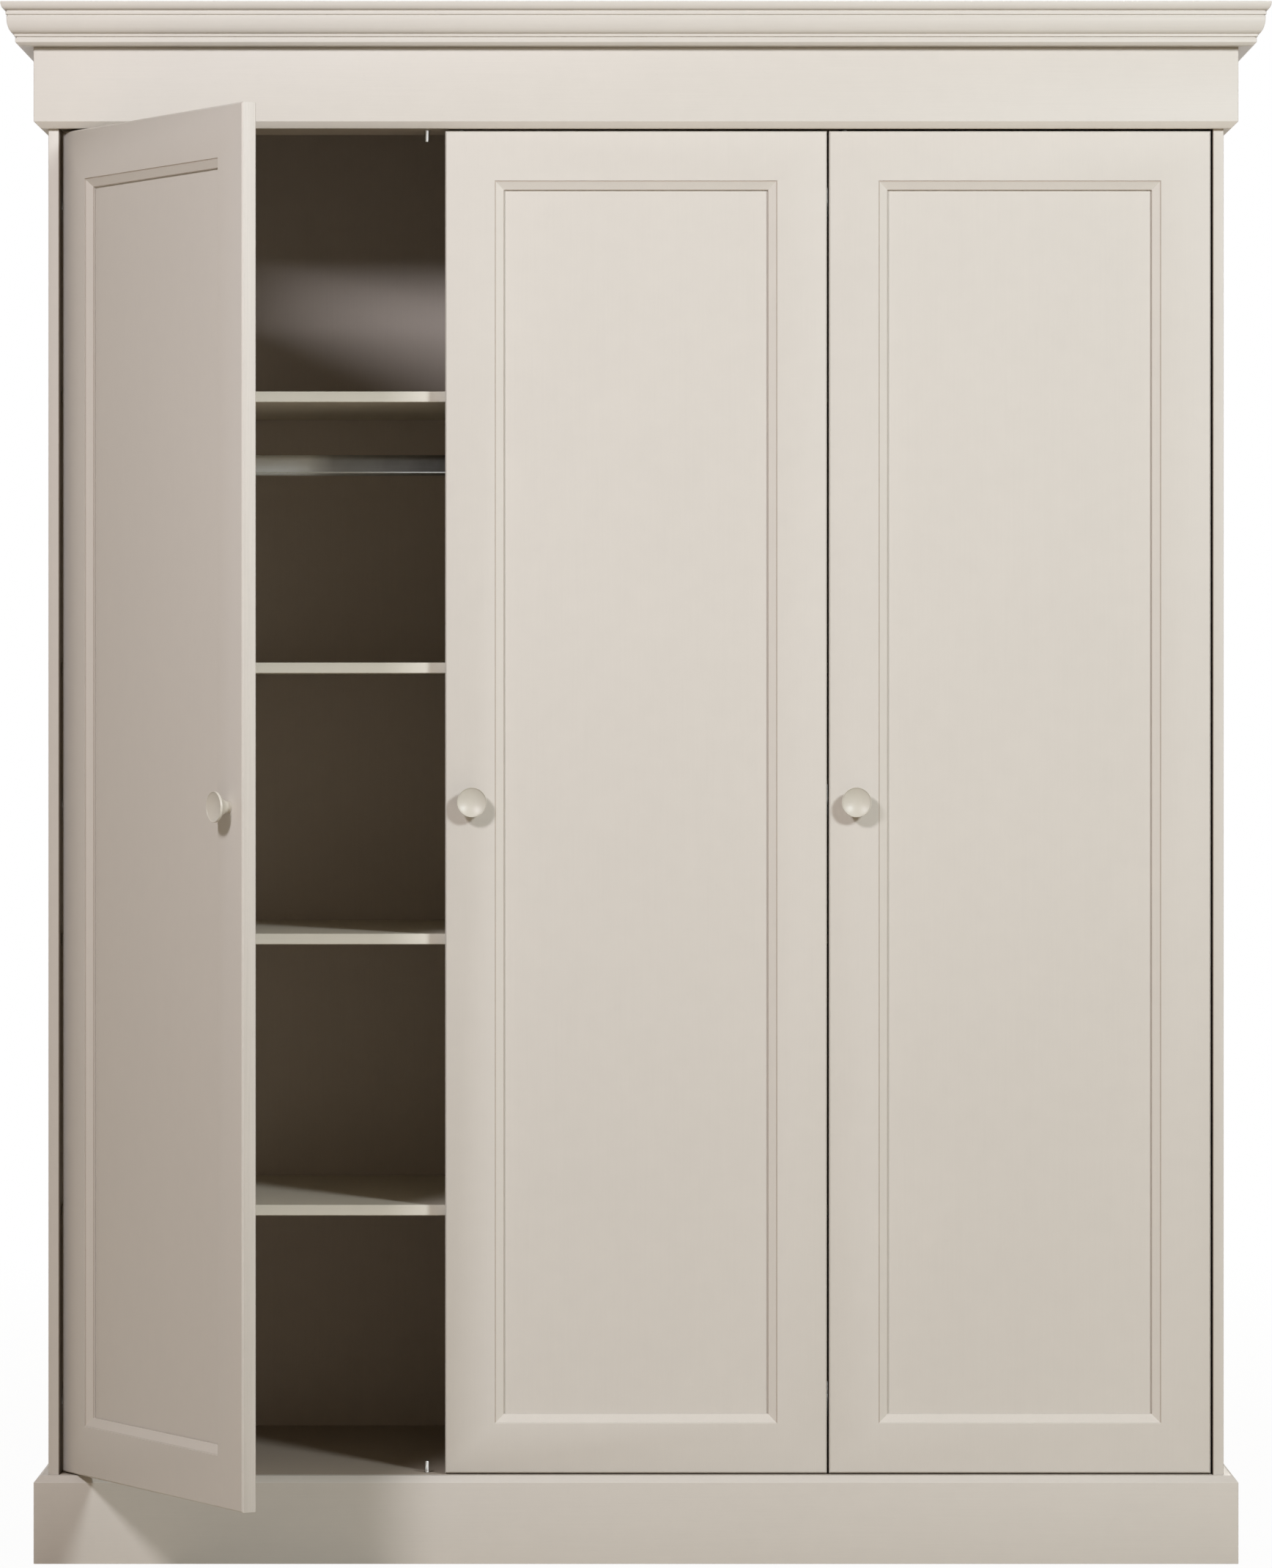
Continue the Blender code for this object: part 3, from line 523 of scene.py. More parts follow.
# %% [markdown]
# ## Rounding the arrises
#
# A painted board never ends in a knife edge: sanding and paint leave a small round that catches
# the light. Each solid is copied, its loose triangles are merged and its flat faces joined, and a
# Bevel modifier rounds what is left of the sharp edges. Hardened normals keep the flat faces
# flat. The modifier marks the faces it made with a spare material slot, from which the `arris`
# value is taken.

# %% Define the copy of a solid with rounded arrises
MERGE = 0.00001
FLAT = math.radians(0.5)
SHARP = math.radians(28)
ROUND_SEGMENTS = 3


def merged_copy(node):
    """A CAD node's mesh as one closed skin of whole faces."""
    shape = bmesh.new()
    shape.from_mesh(nodes[node].data)
    bmesh.ops.remove_doubles(shape, verts=shape.verts, dist=MERGE)
    bmesh.ops.dissolve_limit(shape, angle_limit=FLAT, verts=shape.verts, edges=shape.edges)
    mesh = bpy.data.meshes.new(f"{node}_dressed")
    shape.to_mesh(mesh)
    shape.free()
    return mesh


def evaluated_mesh(piece):
    """What a piece's modifiers make of its mesh, as a plain mesh."""
    graph = bpy.context.evaluated_depsgraph_get()
    mesh = bpy.data.meshes.new_from_object(piece.evaluated_get(graph), depsgraph=graph)
    piece.modifiers.clear()
    return mesh


def mark_arrises(mesh):
    """Turns the marked faces into a value that is 1 in the middle of each rounded edge."""
    marked = [polygon.material_index > 0 for polygon in mesh.polygons]
    inside = [1.0] * len(mesh.vertices)
    for polygon, is_round in zip(mesh.polygons, marked):
        polygon.material_index = 0
        if not is_round:
            for vertex in polygon.vertices:
                inside[vertex] = 0.0
    mesh.attributes.new("arris", "FLOAT", "POINT").data.foreach_set("value", inside)


def rounded_piece(node, radius, materials):
    """A dressed copy of a CAD node, which rides on the node's body in its stead."""
    mesh = merged_copy(node)
    for material in (materials[0], materials[-1]):
        mesh.materials.append(material)
    mesh.shade_smooth()
    piece = bpy.data.objects.new(f"{node}_dressed", mesh)
    scene.collection.objects.link(piece)
    bevel = piece.modifiers.new("rounded arris", "BEVEL")
    bevel.width = radius
    bevel.segments = ROUND_SEGMENTS
    bevel.limit_method = "ANGLE"
    bevel.angle_limit = SHARP
    bevel.harden_normals = True
    bevel.material = 1
    piece.data = evaluated_mesh(piece)
    mark_arrises(piece.data)
    if len(materials) == 1:
        piece.data.materials.pop(index=1)
    return stand_for(piece, node)


def stand_for(piece, *stood_for):
    """Puts a finished piece on the body of the nodes that it stands for, and hides those nodes."""
    first = stood_for[0]
    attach(piece, nodes[first]["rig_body"])
    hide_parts(*stood_for)
    return piece


print("arris segments", ROUND_SEGMENTS)

# %% [markdown]
# ## Boards and mouldings
#
# Grain follows the length of each board: upright on the sides, partition and doors, lengthwise on
# the front plinth, frieze and cornice, and from front to back on their side returns. Three copies
# of one finish with the grain turned do this without any unwrapping. Some boards have a second
# finish on the side that looks one way: the front edges of the shelves and bottom panel are
# painted lighter, as painted light, the insides of the bays darker, as painted shade, and the
# undersides of the frieze and of the cornice's returns lighter in a shinier satin, as painted light
# from below. The bottom panel and head rail are painted darker all over, as painted shade.

# %% Dress the carcass, the trim and the shelves
BOARD_ROUND = 0.00025
TRIM_ROUND = 0.0005
FRONT = Vector((0, -1, 0))
RIGHT = Vector((1, 0, 0))
DOWN = Vector((0, 0, -1))
LOOKS_THAT_WAY = 0.5
# Several finishes here are painted light and shade: lighter shelf edges and undersides, and darker bay
# insides, bottom panel and head rail.
finish_of = {
    "side_panel_left": (BOARD_ROUND, "upright", "inside", RIGHT),
    "side_panel_right": (BOARD_ROUND, "upright", "inside", -RIGHT),
    "centre_partition": (BOARD_ROUND, "inside", "upright", FRONT),
    "top_panel": (BOARD_ROUND, "long", "inside", DOWN),
    "bottom_panel": (BOARD_ROUND, "bottom", "shelf_edge", FRONT),
    "head_rail": (BOARD_ROUND, "bottom"),
    "shelf": (BOARD_ROUND, "shelf", "shelf_edge", FRONT),
    "plinth_front": (TRIM_ROUND, "long"),
    "plinth_side": (TRIM_ROUND, "deep"),
    "frieze_front": (TRIM_ROUND, "long", "lower_edge", DOWN),
    "frieze_side": (TRIM_ROUND, "deep", "lower_edge", DOWN),
    "cornice_front": (TRIM_ROUND, "long"),
    "cornice_side": (TRIM_ROUND, "deep", "primer", DOWN),
    "door_frame": (BOARD_ROUND, "upright"),
    "door_panel": (BOARD_ROUND, "upright"),
}


def paint_side(piece, way):
    """Gives the faces that look one way the piece's second material."""
    for polygon in piece.data.polygons:
        polygon.material_index = int(polygon.normal.dot(way) > LOOKS_THAT_WAY)


dressed = {}
for node in nodes:
    for start, (radius, paint, *other) in finish_of.items():
        if node.startswith(start):
            coats = [paints[name] for name in (paint, *other[:1])]
            dressed[node] = rounded_piece(node, radius, coats)
            if other:
                paint_side(dressed[node], other[1])
print("painted pieces", len(dressed))

# %% [markdown]
# ## The back sheet
#
# The sheet is nailed on from behind. Its copy is a touch thinner at the rear, so that the nail
# heads fit inside the depth that the solid takes up.

# %% Dress the back sheet
NAIL_STAND = 0.0003


def dress_back():
    """The hardboard sheet with its painted and its raw side."""
    piece = rounded_piece("back_panel", NAIL_STAND / 2, back_finishes)
    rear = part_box("back_panel")[1].y
    middle = (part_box("back_panel")[0].y + rear) / 2
    for vertex in piece.data.vertices:
        if vertex.co.y > middle:
            vertex.co.y -= NAIL_STAND
    paint_side(piece, -FRONT)
    return piece


dressed["back_panel"] = dress_back()
print("back sheet faces", len(dressed["back_panel"].data.polygons))

# %% [markdown]
# ## Metal parts
#
# Rail, sockets, stops and hinges keep the shape of their solids. They get the same small rounds,
# so that the plating shows bright lines along the pressed edges, with a painted highlight from the
# `arris` value on top.

# %% Dress the metal parts
METAL_ROUND = 0.0002
for node in nodes:
    metal = metals.get(slot_of[node])
    if metal is not None:
        dressed[node] = rounded_piece(node, METAL_ROUND, [metal])
print("metal pieces", sum(slot_of[node] in metals for node in dressed))

# %% [markdown]
# ## Each door's own axes
#
# The left door stands open and the others are shut, and two of them hang on the other side. What
# is put on a door is easier to place in axes that turn with it: from its pin to its free edge, to
# its back, and up. The joints in the record give them.

# %% Find each door's own axes
HINGES = {joint["child"].split("_")[0]: joint for joint in frame["joints"]}


def door_axes(door):
    """Places a door's own axes at rest: X from its pin to its free edge, Y to its back, Z up."""
    joint = HINGES[door]
    pin = Matrix.Translation(joint["pos_m"])
    if joint["axis"][2] < 0:
        return pin @ Matrix.Rotation(math.radians(joint["range_deg"][0]), 4, "Z")
    return pin @ Matrix.Rotation(math.pi, 4, "Y")


def carcass_axes(door):
    """Places the same axes on the carcass, where the door would be shut."""
    pin = Matrix.Translation(HINGES[door]["pos_m"])
    return pin if HINGES[door]["axis"][2] < 0 else pin @ Matrix.Rotation(math.pi, 4, "Y")


def box_in(axes, node):
    """Lowest and highest corner of a node in its door's own axes."""
    back = axes.inverted()
    points = [back @ vertex.co for vertex in nodes[node].data.vertices]
    low = Vector([min(point[i] for point in points) for i in range(3)])
    high = Vector([max(point[i] for point in points) for i in range(3)])
    return low, high


for door in HINGES:
    low, high = box_in(door_axes(door), f"door_frame_{door}")
    print(door, "door", [round(v, 4) for v in high - low])

# %% [markdown]
# ## Door edges and panel rims
#
# The long edges of a door show its grain more than its face, because sawn edges soak up paint. A
# panel lies loose in its frame and is painted in place. As it shrinks, a thin bare line appears all
# round it, and its dark brown is also painted shade of the gap beside the frame. The frame's bevel
# is a strip of its own, cut to a mitre at each corner and painted a little lighter as painted
# light. A fine dark line shows where the strips meet the frame and the panel: a joint, darkened
# further as painted shade. Painted shade darkens the narrow step, or quirk, beside it. Along the
# bottom, which the light from above reaches, neither line nor painted shade is drawn. The door's
# own axes tell which faces look sideways and which forward.

# %% Paint the door edges, shade the panel rims and draw the bevels' joints
LEAF_COATS = ("upright", "door_edge", "bevel_strip", "joint_and_shade_line", "quirk")
COAT = {name: index for index, name in enumerate(LEAF_COATS)}
PANEL_FACING = 0.9
PANEL_REBATE = 0.0079
RIM_SHADE_LINE = 0.0013
JOINT_LINE = 0.0005
LEAST_JOINT = 0.1
LEAST_BEVEL = 0.004
BEVEL_FACING = (0.8, 0.97)
BOTTOM_RISE = 0.2
QUIRK_DEPTH = (0.0006, 0.0018)


def rim_gap_shade(piece, forward):
    """Paints the rim of a panel's front brown: a bare line and painted shade of the gap by the frame."""
    shape = bmesh.new()
    shape.from_mesh(piece.data)
    ahead = [face for face in shape.faces if face.normal.dot(forward) > PANEL_FACING]
    front = max(ahead, key=lambda face: face.calc_area())
    rim = bmesh.ops.inset_region(shape, faces=[front], thickness=PANEL_REBATE + RIM_SHADE_LINE)
    for face in rim["faces"]:
        face.material_index = 1
    shape.to_mesh(piece.data)
    shape.free()


def is_quirk(face, forward, front):
    """Whether a face of a frame is the flat of the narrow step beside the bevel."""
    depth = front - face.calc_center_median().dot(forward)
    return face.normal.dot(forward) > BEVEL_FACING[1] and QUIRK_DEPTH[0] < depth < QUIRK_DEPTH[1]


def line_bevels(piece, forward):
    """Paints each bevel strip with painted light, and joint lines and quirk with painted shade above the
    bottom.
    """
    shape = bmesh.new()
    shape.from_mesh(piece.data)
    least, most = BEVEL_FACING
    slopes = [face for face in shape.faces if least < face.normal.dot(forward) < most]
    strips = [face for face in slopes if face.calc_area() > LEAST_BEVEL]
    bottom = min(corner.co.z for face in strips for corner in face.verts)
    lines = bmesh.ops.inset_individual(shape, faces=strips, thickness=JOINT_LINE)
    for face in strips:
        face.material_index = COAT["bevel_strip"]
    for face in lines["faces"]:
        # Joint lines are dark, partly painted shade, and are left off the bottom, which the light
        # reaches.
        drawn = face.calc_perimeter() > LEAST_JOINT and face.normal.z < BOTTOM_RISE
        face.material_index = COAT["joint_and_shade_line" if drawn else "bevel_strip"]
    front = max(corner.co.dot(forward) for corner in shape.verts)
    quirks = [face for face in shape.faces if is_quirk(face, forward, front)]
    rims = dict.fromkeys(part for face in quirks for part in (*face.verts, *face.edges))
    bmesh.ops.bisect_plane(shape, geom=[*rims, *quirks], plane_co=(0, 0, bottom), plane_no=(0, 0, 1))
    # Quirk faces above the bottom get painted shade.
    for face in shape.faces:
        if is_quirk(face, forward, front) and face.calc_center_median().z > bottom:
            face.material_index = COAT["quirk"]
    shape.to_mesh(piece.data)
    shape.free()
    return len(strips)


for door in HINGES:
    turn = door_axes(door).to_3x3()
    leaf, panel = dressed[f"door_frame_{door}"], dressed[f"door_panel_{door}"]
    for paint in LEAF_COATS[1:]:
        leaf.data.materials.append(paints[paint])
    paint_side(leaf, turn @ RIGHT)
    print(door, "bevel strips", line_bevels(leaf, turn @ FRONT))
    panel.data.materials.append(paints["rim_gap_shade"])
    rim_gap_shade(panel, turn @ FRONT)
    print(door, "panel faces", len(panel.data.polygons))

# %% [markdown]
# ## Turned knobs
#
# A knob is turned on a lathe, so its surface is a profile spun round an axis. The solid has few
# facets and a slim neck. Here a profile of the same size, with the fuller flare of the photograph,
# a rounded rim and a smooth dish, is spun in small steps, so that the lamps draw clean highlights.

# %% Turn the knobs
KNOB_FOOT = 0.0078
KNOB_FOOT_STEP = 0.0008
KNOB_BAND = 0.0033
KNOB_LIP = 0.0005
KNOB_DISH = 0.0058
KNOB_TURNS = 72
KNOB_SMOOTH = math.radians(50)
FLARE_STEPS = 22
LIP_STEPS = 6
DISH_STEPS = 18
FLARE_OUT = 1.1
FLARE_UP = 0.62


def knob_profile(radius, height):
    """Points (radius, height) from the foot, up the flare, over the lip and down into the dish."""
    under = height - KNOB_BAND
    foot_level = KNOB_BAND / 2
    points = [(0, 0), (KNOB_FOOT + KNOB_FOOT_STEP, 0)]
    for i in range(FLARE_STEPS + 1):
        share = i / FLARE_STEPS
        reach = KNOB_FOOT + (radius - KNOB_FOOT) * share**FLARE_OUT
        points.append((reach, foot_level + (under - foot_level) * share**FLARE_UP))
    for i in range(LIP_STEPS + 1):
        turn = math.pi * i / LIP_STEPS
        reach = radius - KNOB_LIP + KNOB_LIP * math.cos(turn)
        points.append((reach, height - KNOB_LIP + KNOB_LIP * math.sin(turn)))
    dish, edge = points[-1]
    for i in range(1, DISH_STEPS + 1):
        reach = 1 - i / DISH_STEPS
        points.append((dish * reach, edge - (KNOB_DISH - KNOB_LIP) * (1 - reach**2)))
    return points


def spun(profile, turns):
    """A profile of (radius, height) points spun round Z into a closed skin."""
    shape = bmesh.new()
    points = [shape.verts.new((radius, 0, height)) for radius, height in profile]
    edges = [shape.edges.new(pair) for pair in zip(points, points[1:])]
    lathe = {"cent": (0, 0, 0), "axis": (0, 0, 1), "angle": math.tau, "steps": turns}
    bmesh.ops.spin(shape, geom=points + edges, **lathe)
    bmesh.ops.remove_doubles(shape, verts=shape.verts, dist=MERGE)
    bmesh.ops.recalc_face_normals(shape, faces=shape.faces)
    return shape


def turn_knob(door):
    """One smooth knob in place of its faceted solid."""
    node = f"door_knob_{door}"
    axes = door_axes(door)
    low, high = box_in(axes, node)
    shape = spun(knob_profile((high.z - low.z) / 2, high.y - low.y), KNOB_TURNS)
    centre = Vector(((low.x + high.x) / 2, high.y, (low.z + high.z) / 2))
    forward = Matrix.Translation(centre) @ Matrix.Rotation(math.pi / 2, 4, "X")
    shape.transform(axes @ forward)
    mesh = bpy.data.meshes.new(f"{node}_dressed")
    shape.to_mesh(mesh)
    shape.free()
    mesh.materials.append(paints["knob"])
    mesh.shade_smooth()
    mesh.set_sharp_from_angle(angle=KNOB_SMOOTH)
    piece = bpy.data.objects.new(f"{node}_dressed", mesh)
    scene.collection.objects.link(piece)
    return stand_for(piece, node)


for door in HINGES:
    dressed[f"door_knob_{door}"] = turn_knob(door)
print("knob faces", len(dressed["door_knob_left"].data.polygons))

# %% [markdown]
# ## Screws, pins, holes and nails
#
# Hinges and knobs are held by cross-head screws, shelves rest on pins in drilled holes, and the
# back sheet is nailed on. All of these repeat. A Geometry Nodes tree makes one of each kind and
# sets a copy on every point of a plain mesh, turned the way the point faces. Each tree takes its
# sizes in millimetres as named inputs, since cuts are more exact at that scale. It ends in real
# faces, and each body gets one plain mesh of every kind.

# %% Define how a tree sets out its fasteners
FASTENER_SMOOTH = math.radians(35)
MILLIMETRE = 0.001


def fastener_tree(name, sizes):
    """A Geometry Nodes tree that takes places, a finish and named sizes."""
    tree = bpy.data.node_groups.new(name, "GeometryNodeTree")
    tree.interface.new_socket("Places", in_out="INPUT", socket_type="NodeSocketGeometry")
    tree.interface.new_socket("Finish", in_out="INPUT", socket_type="NodeSocketMaterial")
    for size, usual in sizes.items():
        wanted = tree.interface.new_socket(size, in_out="INPUT", socket_type="NodeSocketFloat")
        wanted.default_value = usual
    tree.interface.new_socket("Fasteners", in_out="OUTPUT", socket_type="NodeSocketGeometry")
    graph = Graph(tree)
    given = tree.nodes.new("NodeGroupInput")
    return graph, {socket.name: Value(graph, socket) for socket in given.outputs if socket.name}


def set_out(graph, places, fastener, finish):
    """Ends a tree: one fastener on every place, turned the way it faces, as real faces."""
    vector = {"data_type": "FLOAT_VECTOR"}
    facing = graph.node("GeometryNodeInputNamedAttribute", vector, {"Name": "facing"})
    turn = graph.node("FunctionNodeAlignRotationToVector", {"axis": "Z"}, {"Vector": facing})
    inputs = {"Points": places, "Instance": fastener, "Rotation": turn, "Scale": (MILLIMETRE,) * 3}
    copies = graph.node("GeometryNodeInstanceOnPoints", {}, inputs)
    faces = graph.node("GeometryNodeRealizeInstances", {}, {"Geometry": copies})
    finished = graph.node("GeometryNodeSetMaterial", {}, {"Geometry": faces, "Material": finish})
    graph.node("NodeGroupOutput", {}, {"Fasteners": finished})
    return graph.tree


def fasten(name, body, slot, tree, places, runs=(), finish=None, **sizes):
    """Sets one kind of fastener on a body. Places are pairs: a point and the way it faces."""
    mesh = bpy.data.meshes.new(name)
    mesh.from_pydata([point for point, way in places], runs, [])
    facing = mesh.attributes.new("facing", "FLOAT_VECTOR", "POINT")
    facing.data.foreach_set("vector", [value for point, way in places for value in way])
    piece = bpy.data.objects.new(name, mesh)
    scene.collection.objects.link(piece)
    grow = piece.modifiers.new(tree.name, "NODES")
    grow.node_group = tree
    socket_of = {socket.name: socket.identifier for socket in tree.interface.items_tree}
    grow[socket_of["Finish"]] = finish or metals[slot]
    for size, value in sizes.items():
        grow[socket_of[size.replace("_", " ")]] = value
    piece.data = evaluated_mesh(piece)
    piece.data.shade_smooth()
    piece.data.set_sharp_from_angle(angle=FASTENER_SMOOTH)
    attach(piece, body)
    print(name, "on", body, len(piece.data.polygons), "faces")


print("fastener helpers ready")

# %% [markdown]
# ## Cross-head screws
#
# A flattened sphere makes the domed head, and two crossed bars cut the recess. A disc would do
# from afar, but the recess is what makes a screw readable close up. Every hinge plate has two
# screws, every arm two adjusting screws, every cup two in its wings, and every knob one from
# behind the door.


# %% Define the screw
EXACT_CUT = {"operation": "DIFFERENCE", "solver": "EXACT"}
BAR_LENGTH = 1.15
BAR_DEPTH = 1.4


def screw_tree():
    """Domed heads with a cross recess."""
    sizes = {"head radius": 3.6, "head height": 1.3, "recess width": 0.9}
    graph, given = fastener_tree("cross-head screws", sizes)
    radius, height, width = (given[size] for size in sizes)
    sphere = graph.node("GeometryNodeMeshUVSphere", {}, {"Segments": 28, "Rings": 14, "Radius": 1.0})
    spread = graph.node("ShaderNodeCombineXYZ", {}, {"X": radius, "Y": radius, "Z": height})
    dome = graph.node("GeometryNodeTransform", {}, {"Geometry": sphere, "Scale": spread})
    lift = graph.node("ShaderNodeCombineXYZ", {}, {"Z": height})
    bars = []
    for along, across in ("XY", "YX"):
        sides = {along: radius * BAR_LENGTH, across: width, "Z": height * BAR_DEPTH}
        span = graph.node("ShaderNodeCombineXYZ", {}, sides)
        bar = graph.node("GeometryNodeMeshCube", {}, {"Size": span})
        bars.append(graph.node("GeometryNodeTransform", {}, {"Geometry": bar, "Translation": lift}))
    head = graph.node("GeometryNodeMeshBoolean", EXACT_CUT, {"Mesh 1": dome, "Mesh 2": bars})
    return set_out(graph, given["Places"], head, given["Finish"])


screws = screw_tree()
print("screw inputs", [socket.name for socket in screws.interface.items_tree])

# %% [markdown]
# ## Where the screws go
#
# A hinge plate is screwed to the carcass above and below its arm, and two adjusting screws sit in
# the arm's channel. A cup is held by its two wings, and a knob from behind its door. The places
# follow from each fitting's box in its door's own axes, so that none has to be typed in.

# %% Drive the screws
PLATE_THICKNESS = 0.0025
PLATE_FROM_END = 0.0175
PLATE_SCREW_REACH = 0.018
CHANNEL_HEIGHT = 0.010
CHANNEL_SCREWS = (0.0158, 0.0278)
WING_SCREW_REACH = 0.024
LEVELS = ("lower", "middle", "upper")


def turned_by(axes, point, way):
    """A place and its facing, taken from a door's own axes into the room."""
    return axes @ Vector(point), axes.to_3x3() @ Vector(way)


def arm_places(door):
    """Plate screws and adjusting screws of a door's three hinge arms."""
    axes = carcass_axes(door)
    plate, channel = [], []
    for level in LEVELS:
        low, high = box_in(axes, f"hinge_arm_{door}_{level}")
        middle = (low.z + high.z) / 2
        for reach in (-PLATE_SCREW_REACH, PLATE_SCREW_REACH):
            point = (low.x + PLATE_THICKNESS, high.y - PLATE_FROM_END, middle + reach)
            plate.append(turned_by(axes, point, (1, 0, 0)))
        for back in CHANNEL_SCREWS:
            channel.append(turned_by(axes, (low.x + CHANNEL_HEIGHT, high.y - back, middle), (1, 0, 0)))
    return plate, channel


def cup_places(door):
    """Wing screws of a door's three hinge cups."""
    axes = door_axes(door)
    places = []
    for level in LEVELS:
        low, high = box_in(axes, f"hinge_cup_{door}_{level}")
        centre = (low + high) / 2
        for reach in (-WING_SCREW_REACH, WING_SCREW_REACH):
            places.append(turned_by(axes, (centre.x, high.y, centre.z + reach), (0, 1, 0)))
    return places


def knob_places(door):
    """The screw that holds a knob from behind its door."""
    axes = door_axes(door)
    low, high = box_in(axes, f"door_knob_{door}")
    behind = box_in(axes, f"door_frame_{door}")[1].y
    return [turned_by(axes, ((low.x + high.x) / 2, behind, (low.z + high.z) / 2), (0, 1, 0))]


arms = [arm_places(door) for door in HINGES]
plate_places = [place for plate, channel in arms for place in plate]
channel_places = [place for plate, channel in arms for place in channel]
fasten("hinge_plate_screws", "carcass", "hinge_nickel", screws, plate_places)
fasten("hinge_adjusting_screws", "carcass", "hinge_nickel", screws, channel_places, head_radius=3.1)
for door in HINGES:
    fasten(f"hinge_cup_screws_{door}", f"{door}_door", "hinge_nickel", screws, cup_places(door))
    fasten(f"knob_screw_{door}", f"{door}_door", "stop_zinc", screws, knob_places(door), head_radius=4.2)

# %% [markdown]
# ## Shelf pins
#
# Each shelf lies on four pins that stick out of the boards beside it. A pin has a collar that
# stops it at the board and a chamfered tip. Three short cones, stacked end to end, make it.

# %% Set the shelf pins
UPRIGHTS = ("side_panel_left", "side_panel_right", "centre_partition")
PIN_RADIUS = 0.0025
PIN_FROM_EDGE = 0.050
COLLAR_FOOT = 1.5
COLLAR_TOP = 1.4


def pin_tree():
    """Pins with a collar at the board and a chamfered tip."""
    sizes = {"pin radius": PIN_RADIUS / MILLIMETRE, "pin length": 9.0, "collar": 1.0, "chamfer": 0.8}
    graph, given = fastener_tree("shelf pins", sizes)
    radius, length, collar, chamfer = (given[size] for size in sizes)
    stack = (
        (radius * COLLAR_FOOT, radius * COLLAR_TOP, 0.0, collar),
        (radius, radius, collar, length - collar - chamfer),
        (radius, radius - chamfer, length - chamfer, chamfer),
    )
    stages = []
    for wide, narrow, start, depth in stack:
        sizes = {"Vertices": 24, "Radius Bottom": wide, "Radius Top": narrow, "Depth": depth}
        cone = graph.node("GeometryNodeMeshCone", {}, sizes)
        lift = graph.node("ShaderNodeCombineXYZ", {}, {"Z": start})
        stages.append(graph.node("GeometryNodeTransform", {}, {"Geometry": cone, "Translation": lift}))
    pin = graph.node("GeometryNodeJoinGeometry", {}, {"Geometry": stages})
    return set_out(graph, given["Places"], pin, given["Finish"])


def shelf_pin_places(node):
    """Four pins under a shelf, two at each end, that stand on the boards and face along it."""
    low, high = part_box(node)
    level = low.z - PIN_RADIUS
    board_sides = [corner.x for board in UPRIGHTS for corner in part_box(board)]
    places = []
    for end, way in ((low.x, 1), (high.x, -1)):
        side = min(board_sides, key=lambda x: abs(x - end))
        for deep in (low.y + PIN_FROM_EDGE, high.y - PIN_FROM_EDGE):
            places.append(((side, deep, level), (way, 0, 0)))
    return places


shelves = [node for node in nodes if node.startswith("shelf_")]
pin_places = [place for node in shelves for place in shelf_pin_places(node)]
fasten("shelf_pins", "carcass", "stop_zinc", pin_tree(), pin_places)

# %% [markdown]
# ## Holes for the shelf pins
#
# Two spare holes above and two below each pin let a shelf be set higher or lower. They could be
# cut out of the boards. A thin dark disc on the board, painted shade where the hole would be deep,
# looks the same at this size and leaves the board one plain shape. The tree makes a short row of
# them, and each pin's place gets a row.

# %% Mark the pin holes
ROW_OF_HOLES = 5


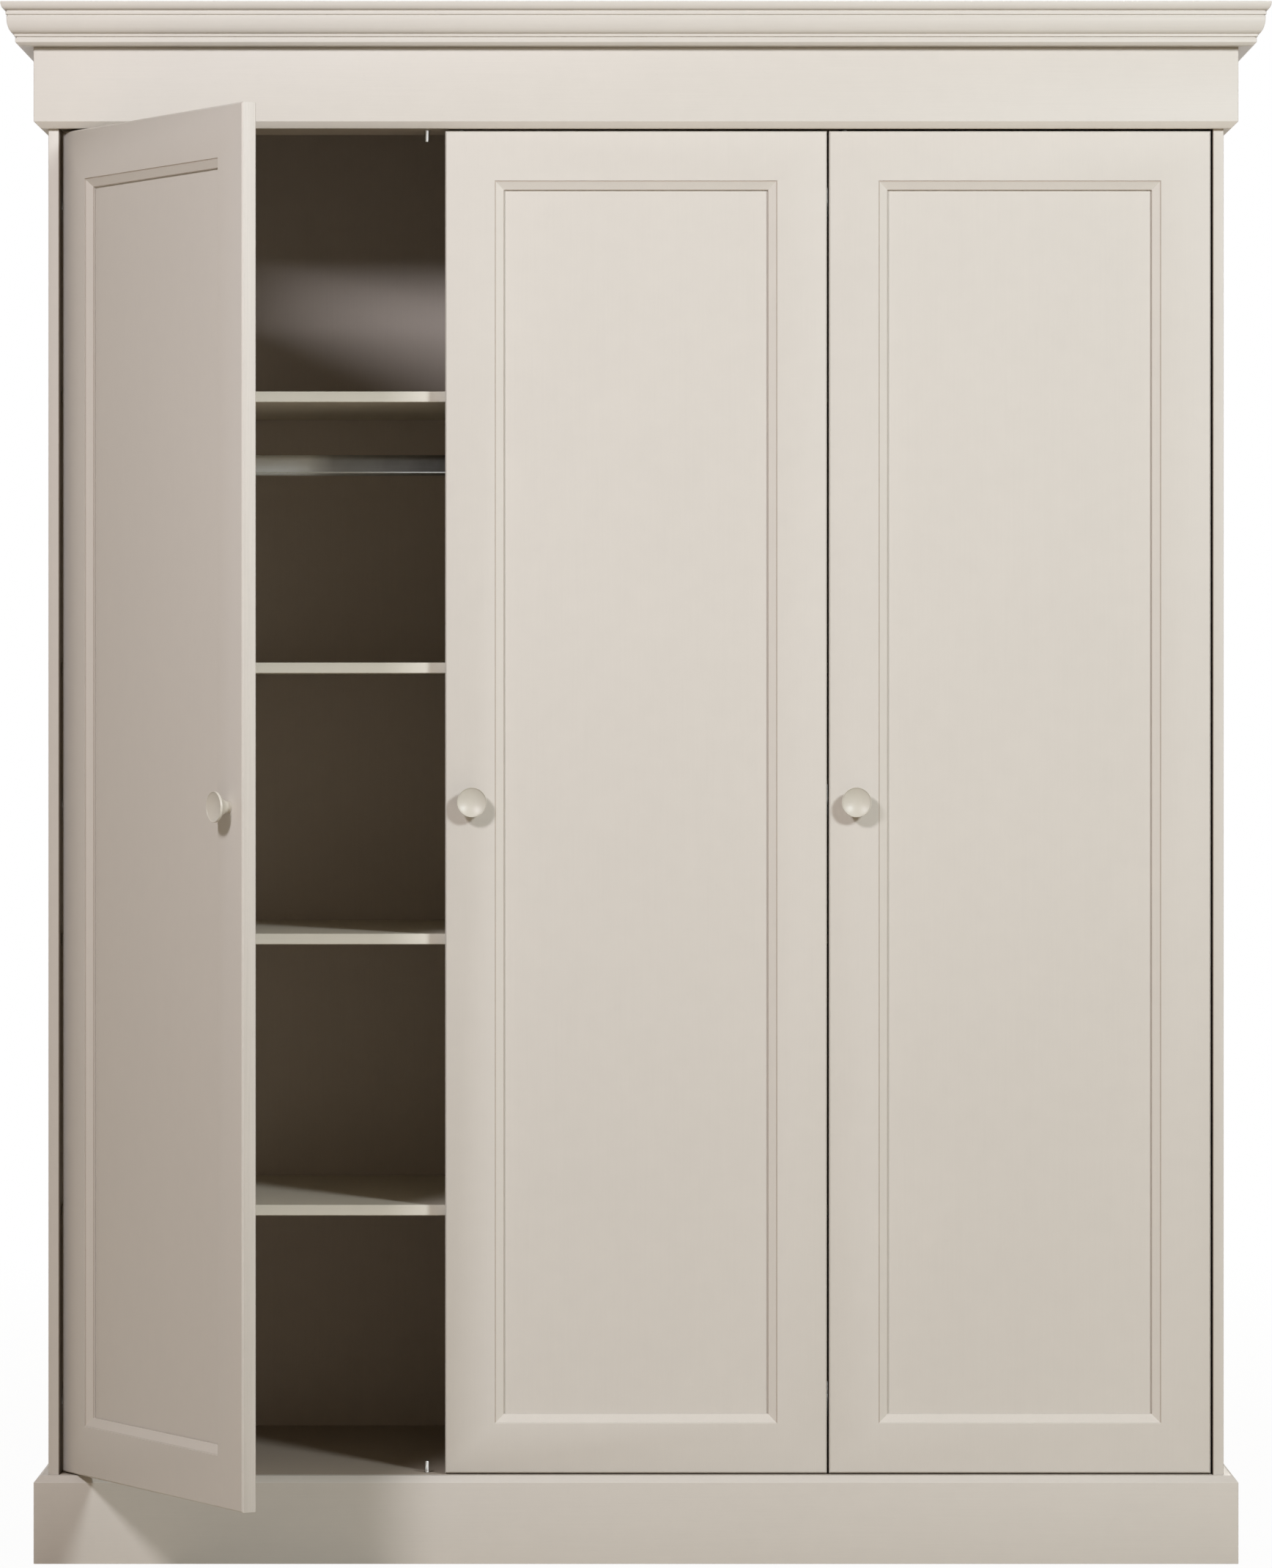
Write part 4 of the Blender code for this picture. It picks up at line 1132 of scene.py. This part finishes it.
def hole_tree():
    """A row of dark discs, painted shade for holes, the middle one behind the pin."""
    sizes = {"hole radius": PIN_RADIUS / MILLIMETRE, "disc height": 0.05, "pitch": 32.0}
    graph, given = fastener_tree("pin hole shade discs", sizes)
    radius, height, pitch = (given[size] for size in sizes)
    start = graph.node("ShaderNodeCombineXYZ", {}, {"X": pitch * ((1 - ROW_OF_HOLES) / 2)})
    step = graph.node("ShaderNodeCombineXYZ", {}, {"X": pitch})
    spread = {"Count": ROW_OF_HOLES, "Start Location": start, "Offset": step}
    row = graph.node("GeometryNodeMeshLine", {}, spread)
    cone = {"Vertices": 20, "Radius Bottom": radius, "Radius Top": radius, "Depth": height}
    hole = graph.node("GeometryNodeMeshCone", {}, cone)
    holes = graph.node("GeometryNodeInstanceOnPoints", {}, {"Points": row, "Instance": hole})
    return set_out(graph, given["Places"], holes, given["Finish"])


board_slot = slot_of["side_panel_left"]
# The discs carry painted shade where the holes would be dark.
fasten("pin_hole_shade_discs", "carcass", board_slot, hole_tree(), pin_places, finish=paints["drilled"])

# %% [markdown]
# ## Nails in the back sheet
#
# The back sheet is nailed along the boards behind it, at an even pitch. A line of edges stands for
# each row. The tree turns the lines into curves and drops a flat head at every step.

# %% Nail on the back sheet
LEVEL_BOARDS = ("top_panel", "bottom_panel")
NAIL_MARGIN = 0.045
NAIL_TAPER = 0.82


def nail_tree():
    """Flat nail heads at an even pitch along every line."""
    sizes = {"pitch": 100.0, "head radius": 3.0, "head height": NAIL_STAND / MILLIMETRE}
    graph, given = fastener_tree("back nails", sizes)
    pitch, radius, height = (given[size] for size in sizes)
    rows = graph.node("GeometryNodeMeshToCurve", {}, {"Mesh": given["Places"]})
    spacing = {"Curve": rows, "Length": pitch * MILLIMETRE}
    steps = graph.node("GeometryNodeCurveToPoints", {"mode": "LENGTH"}, spacing)
    cone = {"Vertices": 20, "Radius Bottom": radius, "Radius Top": radius * NAIL_TAPER, "Depth": height}
    head = graph.node("GeometryNodeMeshCone", {}, cone)
    return set_out(graph, steps, head, given["Finish"])


def nail_rows():
    """The ends of the nailed rows on the back sheet, behind the boards that hold it."""
    low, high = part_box("back_panel")
    rear = high.y - NAIL_STAND
    upright = [sum(corner.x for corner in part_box(node)) / 2 for node in nodes if node in UPRIGHTS]
    level = [sum(corner.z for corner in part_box(node)) / 2 for node in LEVEL_BOARDS]
    ends = []
    for x in upright:
        ends += [(x, rear, low.z + NAIL_MARGIN), (x, rear, high.z - NAIL_MARGIN)]
    for z in level:
        ends += [(low.x + NAIL_MARGIN, rear, z), (high.x - NAIL_MARGIN, rear, z)]
    return [(end, (0, 1, 0)) for end in ends]


nail_ends = nail_rows()
pairs = [(i, i + 1) for i in range(0, len(nail_ends), 2)]
fasten("back_nails", "carcass", "stop_zinc", nail_tree(), nail_ends, pairs)
